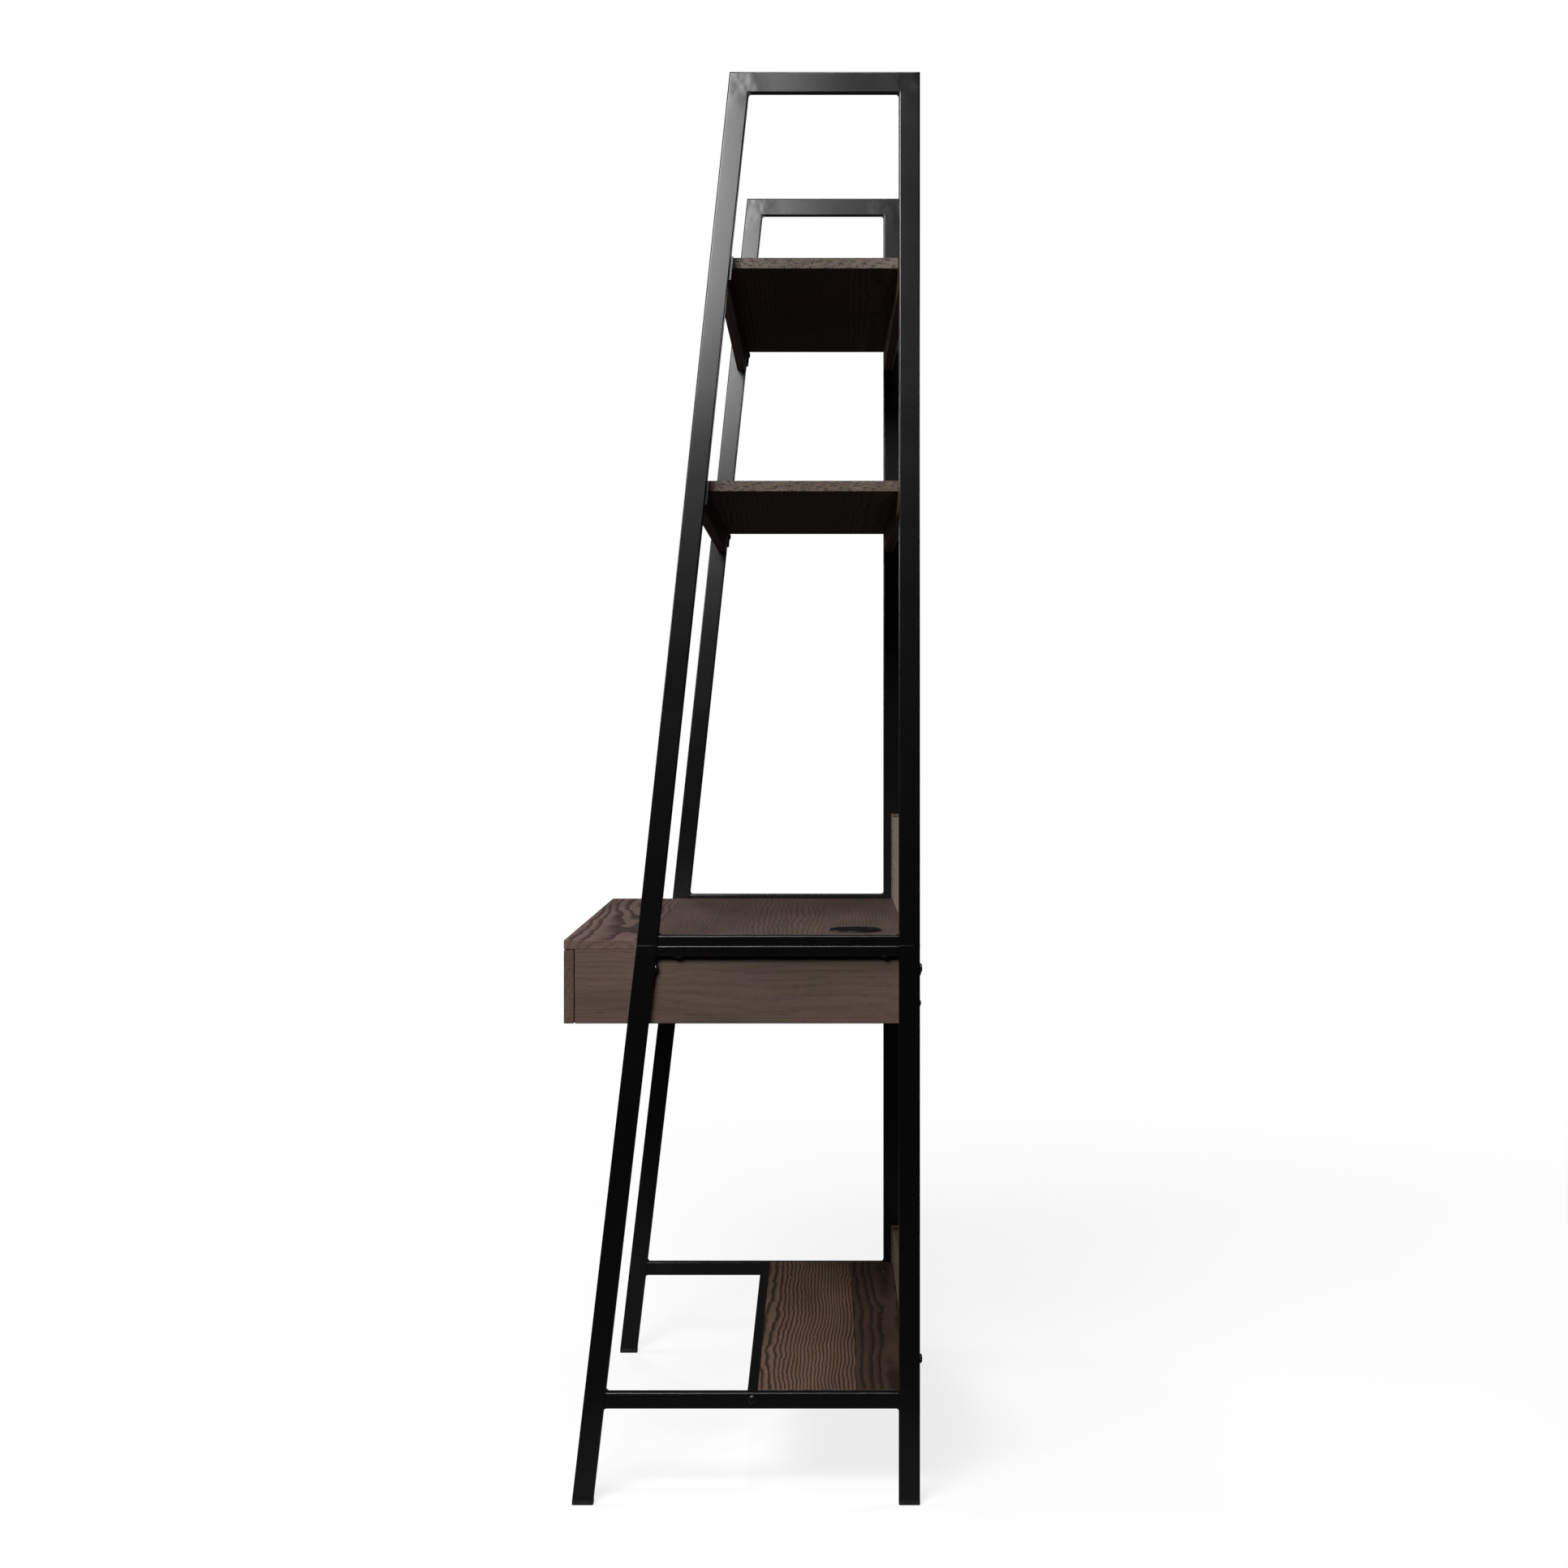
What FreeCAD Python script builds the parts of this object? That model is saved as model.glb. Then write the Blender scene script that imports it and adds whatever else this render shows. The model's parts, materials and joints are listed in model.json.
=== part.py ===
"""Ladder desk: two leaning steel side frames that carry a desk box with a drawer,
two upper shelves and a bottom shelf.

Millimetres. +X is the sitter's right, -Y the front and +Z up. The origin is on the
floor, in the middle of the whole desk. "Reach" is the distance forward of the rear
faces of the rear legs, so a place in a side view is written as (reach, z).
"""
import FreeCAD
import Part
import math
import os

# ---- Overall sizes -------------------------------------------------------------------
FRAME_HEIGHT = 1829.0       # floor to the top of the side frames
FRAME_WIDTH = 762.0         # across the outer faces of the side frames
DESK_DEPTH = 456.0          # drawer face to the rear faces of the rear legs
SEAM_HEIGHT = 714.0         # where the upper frames stand on the lower frames

# ---- Steel side frames ---------------------------------------------------------------
LEG_DEPTH = 27.0            # leg tube, seen from the side
TUBE_THICKNESS = 13.0       # every tube, seen from the front
TUBE_WALL = 1.5
TUBE_CORNER = 2.0
FOOT_REACH = 445.0          # front edge of the front leg, at the floor
SEAM_REACH = 362.0          # and at the seam
TOP_REACH = 243.0           # and at the top
DESK_RAIL_HEIGHT = 13.0     # the pair of rails beside the desktop
CROSS_TUBE_HEIGHT = 21.0    # foot rails and front stretcher
FOOT_RAIL_TOP = 144.0
WELD_RADIUS = 4.0           # inside corners between a rail and a leg

# ---- Foot caps and joint sleeves -----------------------------------------------------
FOOT_CAP_HEIGHT = 6.5
FOOT_CAP_CHAMFER = 1.0
FOOT_PLUG_LENGTH = 18.0
SLEEVE_HALF_LENGTH = 42.0
TUBE_FIT = 0.3              # play of a plug or sleeve inside a tube, on each side

# ---- Front stretcher -----------------------------------------------------------------
STRETCHER_REACH = 214.0     # its middle
STRETCHER_RISE = 1.5        # its top above the foot rails
END_PLUG_LENGTH = 22.0

# ---- Fasteners -----------------------------------------------------------------------
BOLT_DIAMETER = 6.0
BOLT_HEAD_DIAMETER = 12.0
BOLT_HEAD_HEIGHT = 3.0
HEAD_RIM = 0.3              # straight part of a screw head's rim, of the head's height
HEAD_FLAT = 0.5             # flat top of a screw head, of the head's width
DOME_STEPS = 4              # facets of a screw head's dome
SOCKET_FLATS = 4.0
SOCKET_DEPTH = 1.8
BOLT_PLAY = 0.2             # bolt to its plain hole, on each side
THREAD_FIT = 0.1            # screw or dowel to the hole that grips it, on each side
LEG_SCREW_LENGTH = 14.0
LEG_SCREW_DROP = 29.0       # joint screws below the seam
SHELF_SCREW_HEIGHT = 186.0  # rear leg screws beside the bottom back board
RAIL_BOLT_INSET = 18.0      # rear rail bolts, in front of the rear leg
RAIL_BOLT_SETBACK = 27.0    # front rail bolts, behind the front leg
RAIL_BOLT_GRIP = 7.0        # rail bolt above the seam
TAB_SCREW_DIAMETER = 4.0
TAB_SCREW_HEAD_DIAMETER = 8.0
TAB_SCREW_HEAD_HEIGHT = 2.0
TAB_SCREW_BITE = 10.5       # into the wood, past the tab
BACK_SCREW_BITE = 18.0      # into the wood, past the back board
BACK_SCREW_SPREAD = 240.0   # outer back screws from the middle
DOWEL_DIAMETER = 8.0
DOWEL_LENGTH = 24.0
DOWEL_SEAT = 8.0            # into the thinner of the two boards
DOWEL_SPREAD = 250.0        # outer shelf dowels from the middle
HOLE_SPARE = 0.5            # blind holes past the end of what they hold

# ---- Wood ----------------------------------------------------------------------------
BOARD_EASE = 1.0            # rounding of the boards' edges
BOARD_FIT = 0.2             # boards to the frames beside them

# ---- Bottom shelf --------------------------------------------------------------------
BOTTOM_SHELF_TOP = 144.5
BOTTOM_SHELF_THICKNESS = 14.0
BOTTOM_BACK_TOP = 197.0
TAB_THICKNESS = 2.5
BOTTOM_TAB_WIDTH = 24.0
BOTTOM_TAB_LENGTH = 22.0
BOTTOM_TAB_REACHES = (60.0, 170.0)

# ---- Desk box ------------------------------------------------------------------------
DESKTOP_TOP = 720.0
DESKTOP_THICKNESS = 12.0
DESK_BOTTOM = 613.0
CASE_THICKNESS = 13.0       # side boards
BACK_THICKNESS = 13.0       # both back boards
DESK_BACK_TOP = 849.0
END_BLOCK_WIDTH = 12.0
END_BLOCK_RISE = 5.5        # above the back board
END_BLOCK_PROUD = 2.0       # in front of the back board
FRONT_RAIL_DEPTH = 50.0
FRONT_RAIL_THICKNESS = 10.0
BOX_BOLT_RISE = 12.0        # bolts to the legs, above the bottom of the desk box
BOX_BOLT_SPARE = 2.7        # bolts short of the leg's outer wall
DESK_DOWEL_INSET = 42.0     # outer dowels from the ends of the side boards
SIDE_SCREW_RISES = (26.0, 65.0)     # back screws into a side board, above its bottom edge

# ---- Cable grommet -------------------------------------------------------------------
GROMMET_INSET = 157.0       # its middle from the outer face of the right-hand frame
GROMMET_REACH = 80.0
GROMMET_BORE = 60.0         # hole in the desktop
GROMMET_FLANGE_DIAMETER = 70.0
GROMMET_FLANGE_HEIGHT = 2.5
GROMMET_WALL = 2.0
GROMMET_DEPTH = 20.0        # sleeve below the top of the desktop
GROMMET_LEDGE_WIDTH = 3.5
GROMMET_LEDGE_HEIGHT = 2.0
CAP_THICKNESS = 3.2
CAP_PROUD = 0.6             # above the flange
CAP_SLOT_WIDTH = 18.0
CAP_SLOT_DEPTH = 19.0
TURN_FIT = 0.3              # cap to sleeve

# ---- Drawer --------------------------------------------------------------------------
DRAWER_FACE_THICKNESS = 13.0
DRAWER_FACE_GAP = 1.0       # to the desktop above and the side boards behind
DRAWER_LENGTH = 310.0       # box behind the face
DRAWER_SIDE_THICKNESS = 12.0
DRAWER_SIDE_HEIGHT = 70.0
DRAWER_SIDE_LIFT = 9.0      # above the bottom edge of the face
DRAWER_BOTTOM_THICKNESS = 5.0
DRAWER_BOTTOM_LIFT = 7.0    # above the bottom edge of the sides
GROOVE_DEPTH = 5.0
FINGER_PULL_WIDTH = 140.0
FINGER_PULL_HEIGHT = 12.0
FINGER_PULL_DEPTH = 6.0

# ---- Drawer slides -------------------------------------------------------------------
SLIDE_THICKNESS = 12.7
SLIDE_HEIGHT = 35.0
SLIDE_LENGTH = 300.0
SLIDE_SHEET = 1.2
SLIDE_GAP = 0.5             # running gap between one member and the next
SLIDE_SETBACK = 2.0         # behind the front edge of the side boards
SLIDE_FLANGE = 8.0
SLIDE_SCREW_DIAMETER = 3.5
SLIDE_SCREW_HEAD_DIAMETER = 6.4
SLIDE_SCREW_LENGTH = 9.5
SLIDE_SCREW_SPACING = 110.0

# ---- Upper shelves -------------------------------------------------------------------
SHELF_TOPS = {"middle_shelf": 1310.0, "top_shelf": 1597.0}
SHELF_THICKNESS = 14.0
SHELF_RAIL_THICKNESS = 14.0
SHELF_RAIL_HEIGHT = 41.0
SHELF_END_GAP = 15.0        # panel end to the frame, room for the tabs
SHELF_TAB_HEIGHT = 30.0
SHELF_TAB_DROP = 3.0        # top of a tab below the top of the shelf
SHELF_TAB_LAP = 10.0        # front tab on the leg's rear face
SHELF_TAB_FIT = 1.0         # tab to the end of the panel

# ---- Places worked out from the sizes ------------------------------------------------
HALF_WIDTH = FRAME_WIDTH / 2
INNER_X = HALF_WIDTH - TUBE_THICKNESS
TUBE_X = HALF_WIDTH - TUBE_THICKNESS / 2
REAR_Y = (DESK_DEPTH - BOLT_HEAD_HEIGHT) / 2
LOWER_SLOPE = (FOOT_REACH - SEAM_REACH) / SEAM_HEIGHT
UPPER_SLOPE = (SEAM_REACH - TOP_REACH) / (FRAME_HEIGHT - SEAM_HEIGHT)
BOLT_RADIUS = BOLT_DIAMETER / 2
TAB_SCREW_RADIUS = TAB_SCREW_DIAMETER / 2
DOWEL_RADIUS = DOWEL_DIAMETER / 2
BOARD_X = INNER_X - BOARD_FIT
STRETCHER_TOP = FOOT_RAIL_TOP + STRETCHER_RISE
BOTTOM_SHELF_UNDERSIDE = BOTTOM_SHELF_TOP - BOTTOM_SHELF_THICKNESS
DESKTOP_UNDERSIDE = DESKTOP_TOP - DESKTOP_THICKNESS
CASE_FRONT = DESK_DEPTH - DRAWER_FACE_THICKNESS - DRAWER_FACE_GAP
CASE_INNER_X = BOARD_X - CASE_THICKNESS
GROMMET_X = HALF_WIDTH - GROMMET_INSET
BOARD_REAR = BACK_THICKNESS + BOARD_FIT
BOX_BOLT_HEIGHT = DESK_BOTTOM + BOX_BOLT_RISE
BOX_BOLT_LENGTH = HALF_WIDTH - TUBE_WALL - BOX_BOLT_SPARE - CASE_INNER_X
FACE_REAR = DESK_DEPTH - DRAWER_FACE_THICKNESS
DRAWER_SIDE_X = CASE_INNER_X - SLIDE_THICKNESS
DRAWER_INNER_X = DRAWER_SIDE_X - DRAWER_SIDE_THICKNESS
DRAWER_SIDE_BOTTOM = DESK_BOTTOM + DRAWER_SIDE_LIFT
DRAWER_SIDE_TOP = DRAWER_SIDE_BOTTOM + DRAWER_SIDE_HEIGHT
DRAWER_FLOOR = DRAWER_SIDE_BOTTOM + DRAWER_BOTTOM_LIFT
DRAWER_REAR = FACE_REAR - DRAWER_LENGTH
SLIDE_Z = (DRAWER_SIDE_BOTTOM + DRAWER_SIDE_TOP) / 2
SLIDE_FRONT = CASE_FRONT - SLIDE_SETBACK
SLIDE_REAR = SLIDE_FRONT - SLIDE_LENGTH
PANEL_X = INNER_X - SHELF_END_GAP
PARALLEL = 0.99999          # cosine that counts as the same direction

FORWARD = FreeCAD.Vector(0, -1, 0)
UP = FreeCAD.Vector(0, 0, 1)
OUTWARD = FreeCAD.Vector(1, 0, 0)
INWARD = FreeCAD.Vector(-1, 0, 0)


# ---- Solids from side views, blocks and rods -----------------------------------------
def point(x, reach, z):
    """Place in the desk's own frame, from a distance forward of the rear faces."""
    return FreeCAD.Vector(x, REAR_Y - reach, z)


def plate(outline, x_low, x_high):
    """Solid with a (reach, z) outline, between two planes across the desk."""
    corners = [point(x_low, reach, z) for reach, z in outline]
    face = Part.Face(Part.makePolygon(corners + corners[:1]))
    return face.extrude(FreeCAD.Vector(x_high - x_low, 0, 0))


def block(x_low, x_high, reach_low, reach_high, z_low, z_high):
    """Rectangular solid."""
    corner = point(x_low, reach_high, z_low)
    return Part.makeBox(x_high - x_low, reach_high - reach_low, z_high - z_low, corner)


def rod(start, direction, radius, length):
    """Cylinder that begins at a point and runs along a direction."""
    return Part.makeCylinder(radius, length, start, direction)


def drilled(solid, places, radius, depth):
    """Solid with a round hole at each (seat, direction), open a little behind the seat."""
    for seat, direction in places:
        start = seat - direction * HOLE_SPARE
        solid = solid.cut(rod(start, direction, radius, depth + HOLE_SPARE))
    return solid


def board(x_low, x_high, reach_low, reach_high, z_low, z_high):
    """Wooden board with eased edges."""
    solid = block(x_low, x_high, reach_low, reach_high, z_low, z_high)
    return solid.makeFillet(BOARD_EASE, solid.Edges)


def eased_plate(outline, x_low, x_high):
    """Wooden board with a shaped side view and eased edges."""
    solid = plate(outline, x_low, x_high)
    return solid.makeFillet(BOARD_EASE, solid.Edges)


def mirrored(solid):
    """Left-hand copy of a right-hand solid."""
    return solid.mirror(FreeCAD.Vector(0, 0, 0), OUTWARD)


def both_sides(solids):
    """Right-hand solids with their left-hand copies."""
    return solids + [mirrored(solid) for solid in solids]


def both_ways(places):
    """Right-hand (seat, direction) pairs with the same ones on the left, not sideways ones."""
    return places + [(FreeCAD.Vector(-seat.x, seat.y, seat.z), way) for seat, way in places]


# ---- Steel tube ----------------------------------------------------------------------
def shifted_side(start, end, toward, distance):
    """Side of an outline moved square to itself, towards (or away from) a point."""
    run = (end[0] - start[0], end[1] - start[1])
    length = math.hypot(run[0], run[1])
    normal = (-run[1] / length, run[0] / length)
    inside = normal[0] * (toward[0] - start[0]) + normal[1] * (toward[1] - start[1])
    step = distance if inside > 0 else -distance
    return [(p[0] + normal[0] * step, p[1] + normal[1] * step) for p in (start, end)]


def crossing(first, second):
    """Point where two lines of a side view cross."""
    (ax, az), (bx, bz) = first
    (cx, cz), (dx, dz) = second
    across = (bx - ax) * (dz - cz) - (bz - az) * (dx - cx)
    share = ((cx - ax) * (dz - cz) - (cz - az) * (dx - cx)) / across
    return ax + share * (bx - ax), az + share * (bz - az)


def cavity(outline):
    """Inside of a tube: long sides moved in by the wall, ends run past the tube."""
    start_a, end_a, end_b, start_b = outline
    side_a = shifted_side(start_a, end_a, start_b, TUBE_WALL)
    side_b = shifted_side(start_b, end_b, start_a, TUBE_WALL)
    near_end = shifted_side(start_a, start_b, end_a, -TUBE_WALL)
    far_end = shifted_side(end_a, end_b, start_a, -TUBE_WALL)
    return [crossing(side_a, near_end), crossing(side_a, far_end),
            crossing(side_b, far_end), crossing(side_b, near_end)]


def tube(outline):
    """Hollow tube of a right-hand side frame, its four long edges rounded.

    The outline runs along one long side, across the far end and back.
    """
    solid = plate(outline, INNER_X, HALF_WIDTH)
    along = [(point(0, *outline[1]) - point(0, *outline[0])).normalize(),
             (point(0, *outline[2]) - point(0, *outline[3])).normalize()]
    long_edges = [edge for edge in solid.Edges
                  if any(abs(edge.tangentAt(edge.FirstParameter).dot(way)) > PARALLEL
                         for way in along)]
    solid = solid.makeFillet(TUBE_CORNER, long_edges)
    return solid.cut(plate(cavity(outline), INNER_X + TUBE_WALL, HALF_WIDTH - TUBE_WALL))


def weld(corner, toward_rail, toward_leg):
    """Weld fillet in an inside corner, from two points that lie along its two faces."""
    ways = []
    for target in (toward_rail, toward_leg):
        run = (target[0] - corner[0], target[1] - corner[1])
        length = math.hypot(run[0], run[1])
        ways.append((run[0] / length, run[1] / length))
    (ra, za), (rb, zb) = ways
    half_angle = math.acos(ra * rb + za * zb) / 2
    tangent = WELD_RADIUS / math.tan(half_angle)
    middle = math.hypot(ra + rb, za + zb)
    dip = WELD_RADIUS / math.sin(half_angle) - WELD_RADIUS
    x = INNER_X + TUBE_CORNER
    apex = point(x, *corner)
    on_rail = point(x, corner[0] + ra * tangent, corner[1] + za * tangent)
    on_leg = point(x, corner[0] + rb * tangent, corner[1] + zb * tangent)
    hollow = point(x, corner[0] + (ra + rb) / middle * dip,
                   corner[1] + (za + zb) / middle * dip)
    edges = [Part.LineSegment(apex, on_rail).toShape(),
             Part.Arc(on_rail, hollow, on_leg).toShape(),
             Part.LineSegment(on_leg, apex).toShape()]
    face = Part.Face(Part.Wire(edges))
    return face.extrude(FreeCAD.Vector(TUBE_THICKNESS - 2 * TUBE_CORNER, 0, 0))


def lower_leg(z, behind=0.0):
    """Point of the lower front leg at a height, some way behind its front edge."""
    front = FOOT_REACH - LOWER_SLOPE * z
    return front - behind * math.hypot(1, LOWER_SLOPE), z


def rear_leg(z, behind=0.0):
    """Point of a rear leg at a height, some way behind its front edge."""
    return LEG_DEPTH - behind, z


def upper_leg(z, behind=0.0):
    """Point of the upper front leg at a height, some way behind its front edge."""
    front = TOP_REACH + UPPER_SLOPE * (FRAME_HEIGHT - z)
    return front - behind * math.hypot(1, UPPER_SLOPE), z


def rail_between(z_low, z_high, leg, welded_above, welded_below):
    """Rail from the rear leg to the inner edge of the front leg, with its welds."""
    rear_low = (LEG_DEPTH, z_low)
    rear_high = (LEG_DEPTH, z_high)
    front_low = leg(z_low, LEG_DEPTH)
    front_high = leg(z_high, LEG_DEPTH)
    rail = tube([rear_high, front_high, front_low, rear_low])
    welds = []
    if welded_above:
        above = z_high + LEG_DEPTH
        welds.append(weld(rear_high, front_high, (LEG_DEPTH, above)))
        welds.append(weld(front_high, rear_high, leg(above, LEG_DEPTH)))
    if welded_below:
        below = z_low - LEG_DEPTH
        welds.append(weld(rear_low, front_low, (LEG_DEPTH, below)))
        welds.append(weld(front_low, rear_low, leg(below, LEG_DEPTH)))
    return rail.fuse(welds).removeSplitter()


# ---- Fasteners -----------------------------------------------------------------------
def turned(profile):
    """Round solid from an (r, z) profile that starts and ends on the axis."""
    corners = [FreeCAD.Vector(r, 0, z) for r, z in profile]
    face = Part.Face(Part.makePolygon(corners + corners[:1]))
    return face.revolve(FreeCAD.Vector(0, 0, 0), UP, 360)


def set_in(solid, seat, direction):
    """Solid made along +Z, put at a seat and pointed along a direction."""
    placed = solid.copy()
    placed.Placement = FreeCAD.Placement(seat, FreeCAD.Rotation(UP, direction))
    return placed


def hex_socket(flats, top, depth):
    """Six-sided prism that a key fills."""
    radius = flats / math.sqrt(3)
    corners = [FreeCAD.Vector(radius * math.cos(turn), radius * math.sin(turn), top)
               for turn in [math.pi / 3 * step for step in range(6)]]
    face = Part.Face(Part.makePolygon(corners + corners[:1]))
    return face.extrude(FreeCAD.Vector(0, 0, depth))


def domed_screw(radius, head_radius, head_height, length):
    """Screw with a domed head below z = 0 and its shank above."""
    point_bevel = radius / 4
    profile = [(0, -head_height)]
    start = math.acos(HEAD_FLAT)
    for step in range(DOME_STEPS + 1):
        turn = start * (1 - step / DOME_STEPS)
        rise = HEAD_RIM + (1 - HEAD_RIM) * math.sin(turn) / math.sin(start)
        profile.append((head_radius * math.cos(turn), -head_height * rise))
    profile += [(head_radius, 0), (radius, 0), (radius, length - point_bevel)]
    return turned(profile + [(radius - point_bevel, length), (0, length)])


def socket_bolt(length):
    """Button-head bolt with a hex socket."""
    bolt = domed_screw(BOLT_RADIUS, BOLT_HEAD_DIAMETER / 2, BOLT_HEAD_HEIGHT, length)
    return bolt.cut(hex_socket(SOCKET_FLATS, -BOLT_HEAD_HEIGHT, SOCKET_DEPTH))


def wood_screw(length):
    """Pan-head wood screw with a cross recess."""
    head = TAB_SCREW_HEAD_HEIGHT
    screw = domed_screw(TAB_SCREW_RADIUS, TAB_SCREW_HEAD_DIAMETER / 2, head, length)
    arm = TAB_SCREW_HEAD_DIAMETER / 4
    slot = arm / 4
    for half_x, half_y in ((arm, slot), (slot, arm)):
        corner = FreeCAD.Vector(-half_x, -half_y, -head)
        screw = screw.cut(Part.makeBox(2 * half_x, 2 * half_y, head / 2, corner))
    return screw


def flush_screw():
    """Countersunk screw whose head ends level with a slide's web."""
    head = SLIDE_SCREW_HEAD_DIAMETER / 2
    shank = SLIDE_SCREW_DIAMETER / 2
    profile = [(0, 0), (head, 0), (shank, SLIDE_SHEET), (shank, SLIDE_SCREW_LENGTH)]
    return turned(profile + [(0, SLIDE_SCREW_LENGTH)])


def dowel_at(seat, direction):
    """Wooden dowel that starts at a point, with chamfered ends."""
    bevel = DOWEL_RADIUS / 4
    profile = [(0, 0), (DOWEL_RADIUS - bevel, 0), (DOWEL_RADIUS, bevel)]
    profile += [(DOWEL_RADIUS, DOWEL_LENGTH - bevel)]
    profile += [(DOWEL_RADIUS - bevel, DOWEL_LENGTH), (0, DOWEL_LENGTH)]
    return set_in(turned(profile), seat, direction)


def group_at(solid, places):
    """One copy of a fastener at each (seat, direction)."""
    return [set_in(solid, seat, direction) for seat, direction in places]


# ---- Where the right-hand fasteners sit ----------------------------------------------
def leg_square():
    """Direction square to the lower front leg, towards the front."""
    steep = math.hypot(1, LOWER_SLOPE)
    return FreeCAD.Vector(0, -1 / steep, LOWER_SLOPE / steep)


def front_joint_place():
    """Joint screw on the rear face of the lower front leg."""
    reach, z = lower_leg(SEAM_HEIGHT - LEG_SCREW_DROP, LEG_DEPTH)
    return point(TUBE_X, reach, z), leg_square()


def rear_joint_place():
    """Joint screw on the rear face of the lower rear leg."""
    return point(TUBE_X, 0, SEAM_HEIGHT - LEG_SCREW_DROP), FORWARD


def shelf_screw_place():
    """Screw on the rear face of the rear leg, beside the bottom back board."""
    return point(TUBE_X, 0, SHELF_SCREW_HEIGHT), FORWARD


def rail_bolt_places():
    """Bolts up through the pair of desk rails."""
    underside = SEAM_HEIGHT - DESK_RAIL_HEIGHT
    rear = LEG_DEPTH + RAIL_BOLT_INSET
    front = lower_leg(underside, LEG_DEPTH + RAIL_BOLT_SETBACK)[0]
    return [(point(TUBE_X, reach, underside), UP) for reach in (rear, front)]


def stretcher_bolt_place():
    """Bolt through the foot rail into the end of the stretcher."""
    z = STRETCHER_TOP - CROSS_TUBE_HEIGHT / 2
    return point(HALF_WIDTH, STRETCHER_REACH, z), INWARD


def box_bolt_places():
    """Bolts from inside the desk box into the legs, the front one first."""
    front = lower_leg(BOX_BOLT_HEIGHT, LEG_DEPTH / 2)[0]
    rear = BOARD_REAR + BOLT_HEAD_DIAMETER / 2 + BOARD_FIT
    return [(point(CASE_INNER_X, reach, BOX_BOLT_HEIGHT), OUTWARD) for reach in (front, rear)]


def bottom_tab_places():
    """Screws up through the bottom shelf's tabs."""
    x = INNER_X - BOTTOM_TAB_LENGTH / 2
    z = BOTTOM_SHELF_UNDERSIDE - TAB_THICKNESS
    return [(point(x, reach, z), UP) for reach in BOTTOM_TAB_REACHES]


def back_screw_places(z, xs):
    """Screws from behind, through a back board."""
    return [(point(x, 0, z), FORWARD) for x in xs]


def desk_side_screw_places():
    """Screws from behind into the rear edge of the right-hand side board."""
    x = BOARD_X - CASE_THICKNESS / 2
    return [(point(x, 0, DESK_BOTTOM + rise), FORWARD) for rise in SIDE_SCREW_RISES]


def spread(distance):
    """Three places across the desk."""
    return (-distance, 0, distance)


def desk_back_screw_places():
    """Screws through the desk's back board into the desktop's rear edge."""
    return back_screw_places(DESKTOP_TOP - DESKTOP_THICKNESS / 2, spread(BACK_SCREW_SPREAD))


def bottom_back_screw_places():
    """Screws through the bottom back board into the bottom shelf's rear edge."""
    height = BOTTOM_SHELF_TOP - BOTTOM_SHELF_THICKNESS / 2
    return back_screw_places(height, spread(BACK_SCREW_SPREAD))


# ---- Side frames ---------------------------------------------------------------------
def lower_front_leg():
    z_low = FOOT_CAP_HEIGHT
    leg = tube([lower_leg(z_low), lower_leg(SEAM_HEIGHT),
                lower_leg(SEAM_HEIGHT, LEG_DEPTH), lower_leg(z_low, LEG_DEPTH)])
    leg = drilled(leg, [front_joint_place()], BOLT_RADIUS + BOLT_PLAY, LEG_DEPTH / 2)
    return drilled(leg, box_bolt_places()[:1], BOLT_RADIUS + THREAD_FIT,
                   BOX_BOLT_LENGTH + HOLE_SPARE)


def lower_rear_leg():
    leg = tube([rear_leg(FOOT_CAP_HEIGHT), rear_leg(SEAM_HEIGHT),
                rear_leg(SEAM_HEIGHT, LEG_DEPTH), rear_leg(FOOT_CAP_HEIGHT, LEG_DEPTH)])
    leg = drilled(leg, [rear_joint_place()], BOLT_RADIUS + BOLT_PLAY, LEG_DEPTH / 2)
    leg = drilled(leg, [shelf_screw_place()], BOLT_RADIUS + THREAD_FIT, LEG_DEPTH / 2)
    return drilled(leg, box_bolt_places()[1:], BOLT_RADIUS + THREAD_FIT,
                   BOX_BOLT_LENGTH + HOLE_SPARE)


def foot_rail():
    rail = rail_between(FOOT_RAIL_TOP - CROSS_TUBE_HEIGHT, FOOT_RAIL_TOP, lower_leg, True, True)
    return drilled(rail, [stretcher_bolt_place()], BOLT_RADIUS + BOLT_PLAY,
                   TUBE_THICKNESS + HOLE_SPARE)


def lower_desk_rail():
    rail = rail_between(SEAM_HEIGHT - DESK_RAIL_HEIGHT, SEAM_HEIGHT, lower_leg, False, True)
    return drilled(rail, rail_bolt_places(), BOLT_RADIUS + BOLT_PLAY,
                   DESK_RAIL_HEIGHT + HOLE_SPARE)


def upper_desk_rail():
    rail = rail_between(SEAM_HEIGHT, SEAM_HEIGHT + DESK_RAIL_HEIGHT, upper_leg, True, False)
    return drilled(rail, rail_bolt_places(), BOLT_RADIUS + THREAD_FIT,
                   DESK_RAIL_HEIGHT + RAIL_BOLT_GRIP + HOLE_SPARE)


def upper_front_leg():
    """Mitred to the top rail at its upper end."""
    mitre = FRAME_HEIGHT - LEG_DEPTH
    return tube([upper_leg(SEAM_HEIGHT), upper_leg(FRAME_HEIGHT),
                 upper_leg(mitre, LEG_DEPTH), upper_leg(SEAM_HEIGHT, LEG_DEPTH)])


def upper_rear_leg():
    """Mitred to the top rail at its upper end."""
    return tube([rear_leg(SEAM_HEIGHT, LEG_DEPTH), rear_leg(FRAME_HEIGHT, LEG_DEPTH),
                 rear_leg(FRAME_HEIGHT - LEG_DEPTH), rear_leg(SEAM_HEIGHT)])


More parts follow.
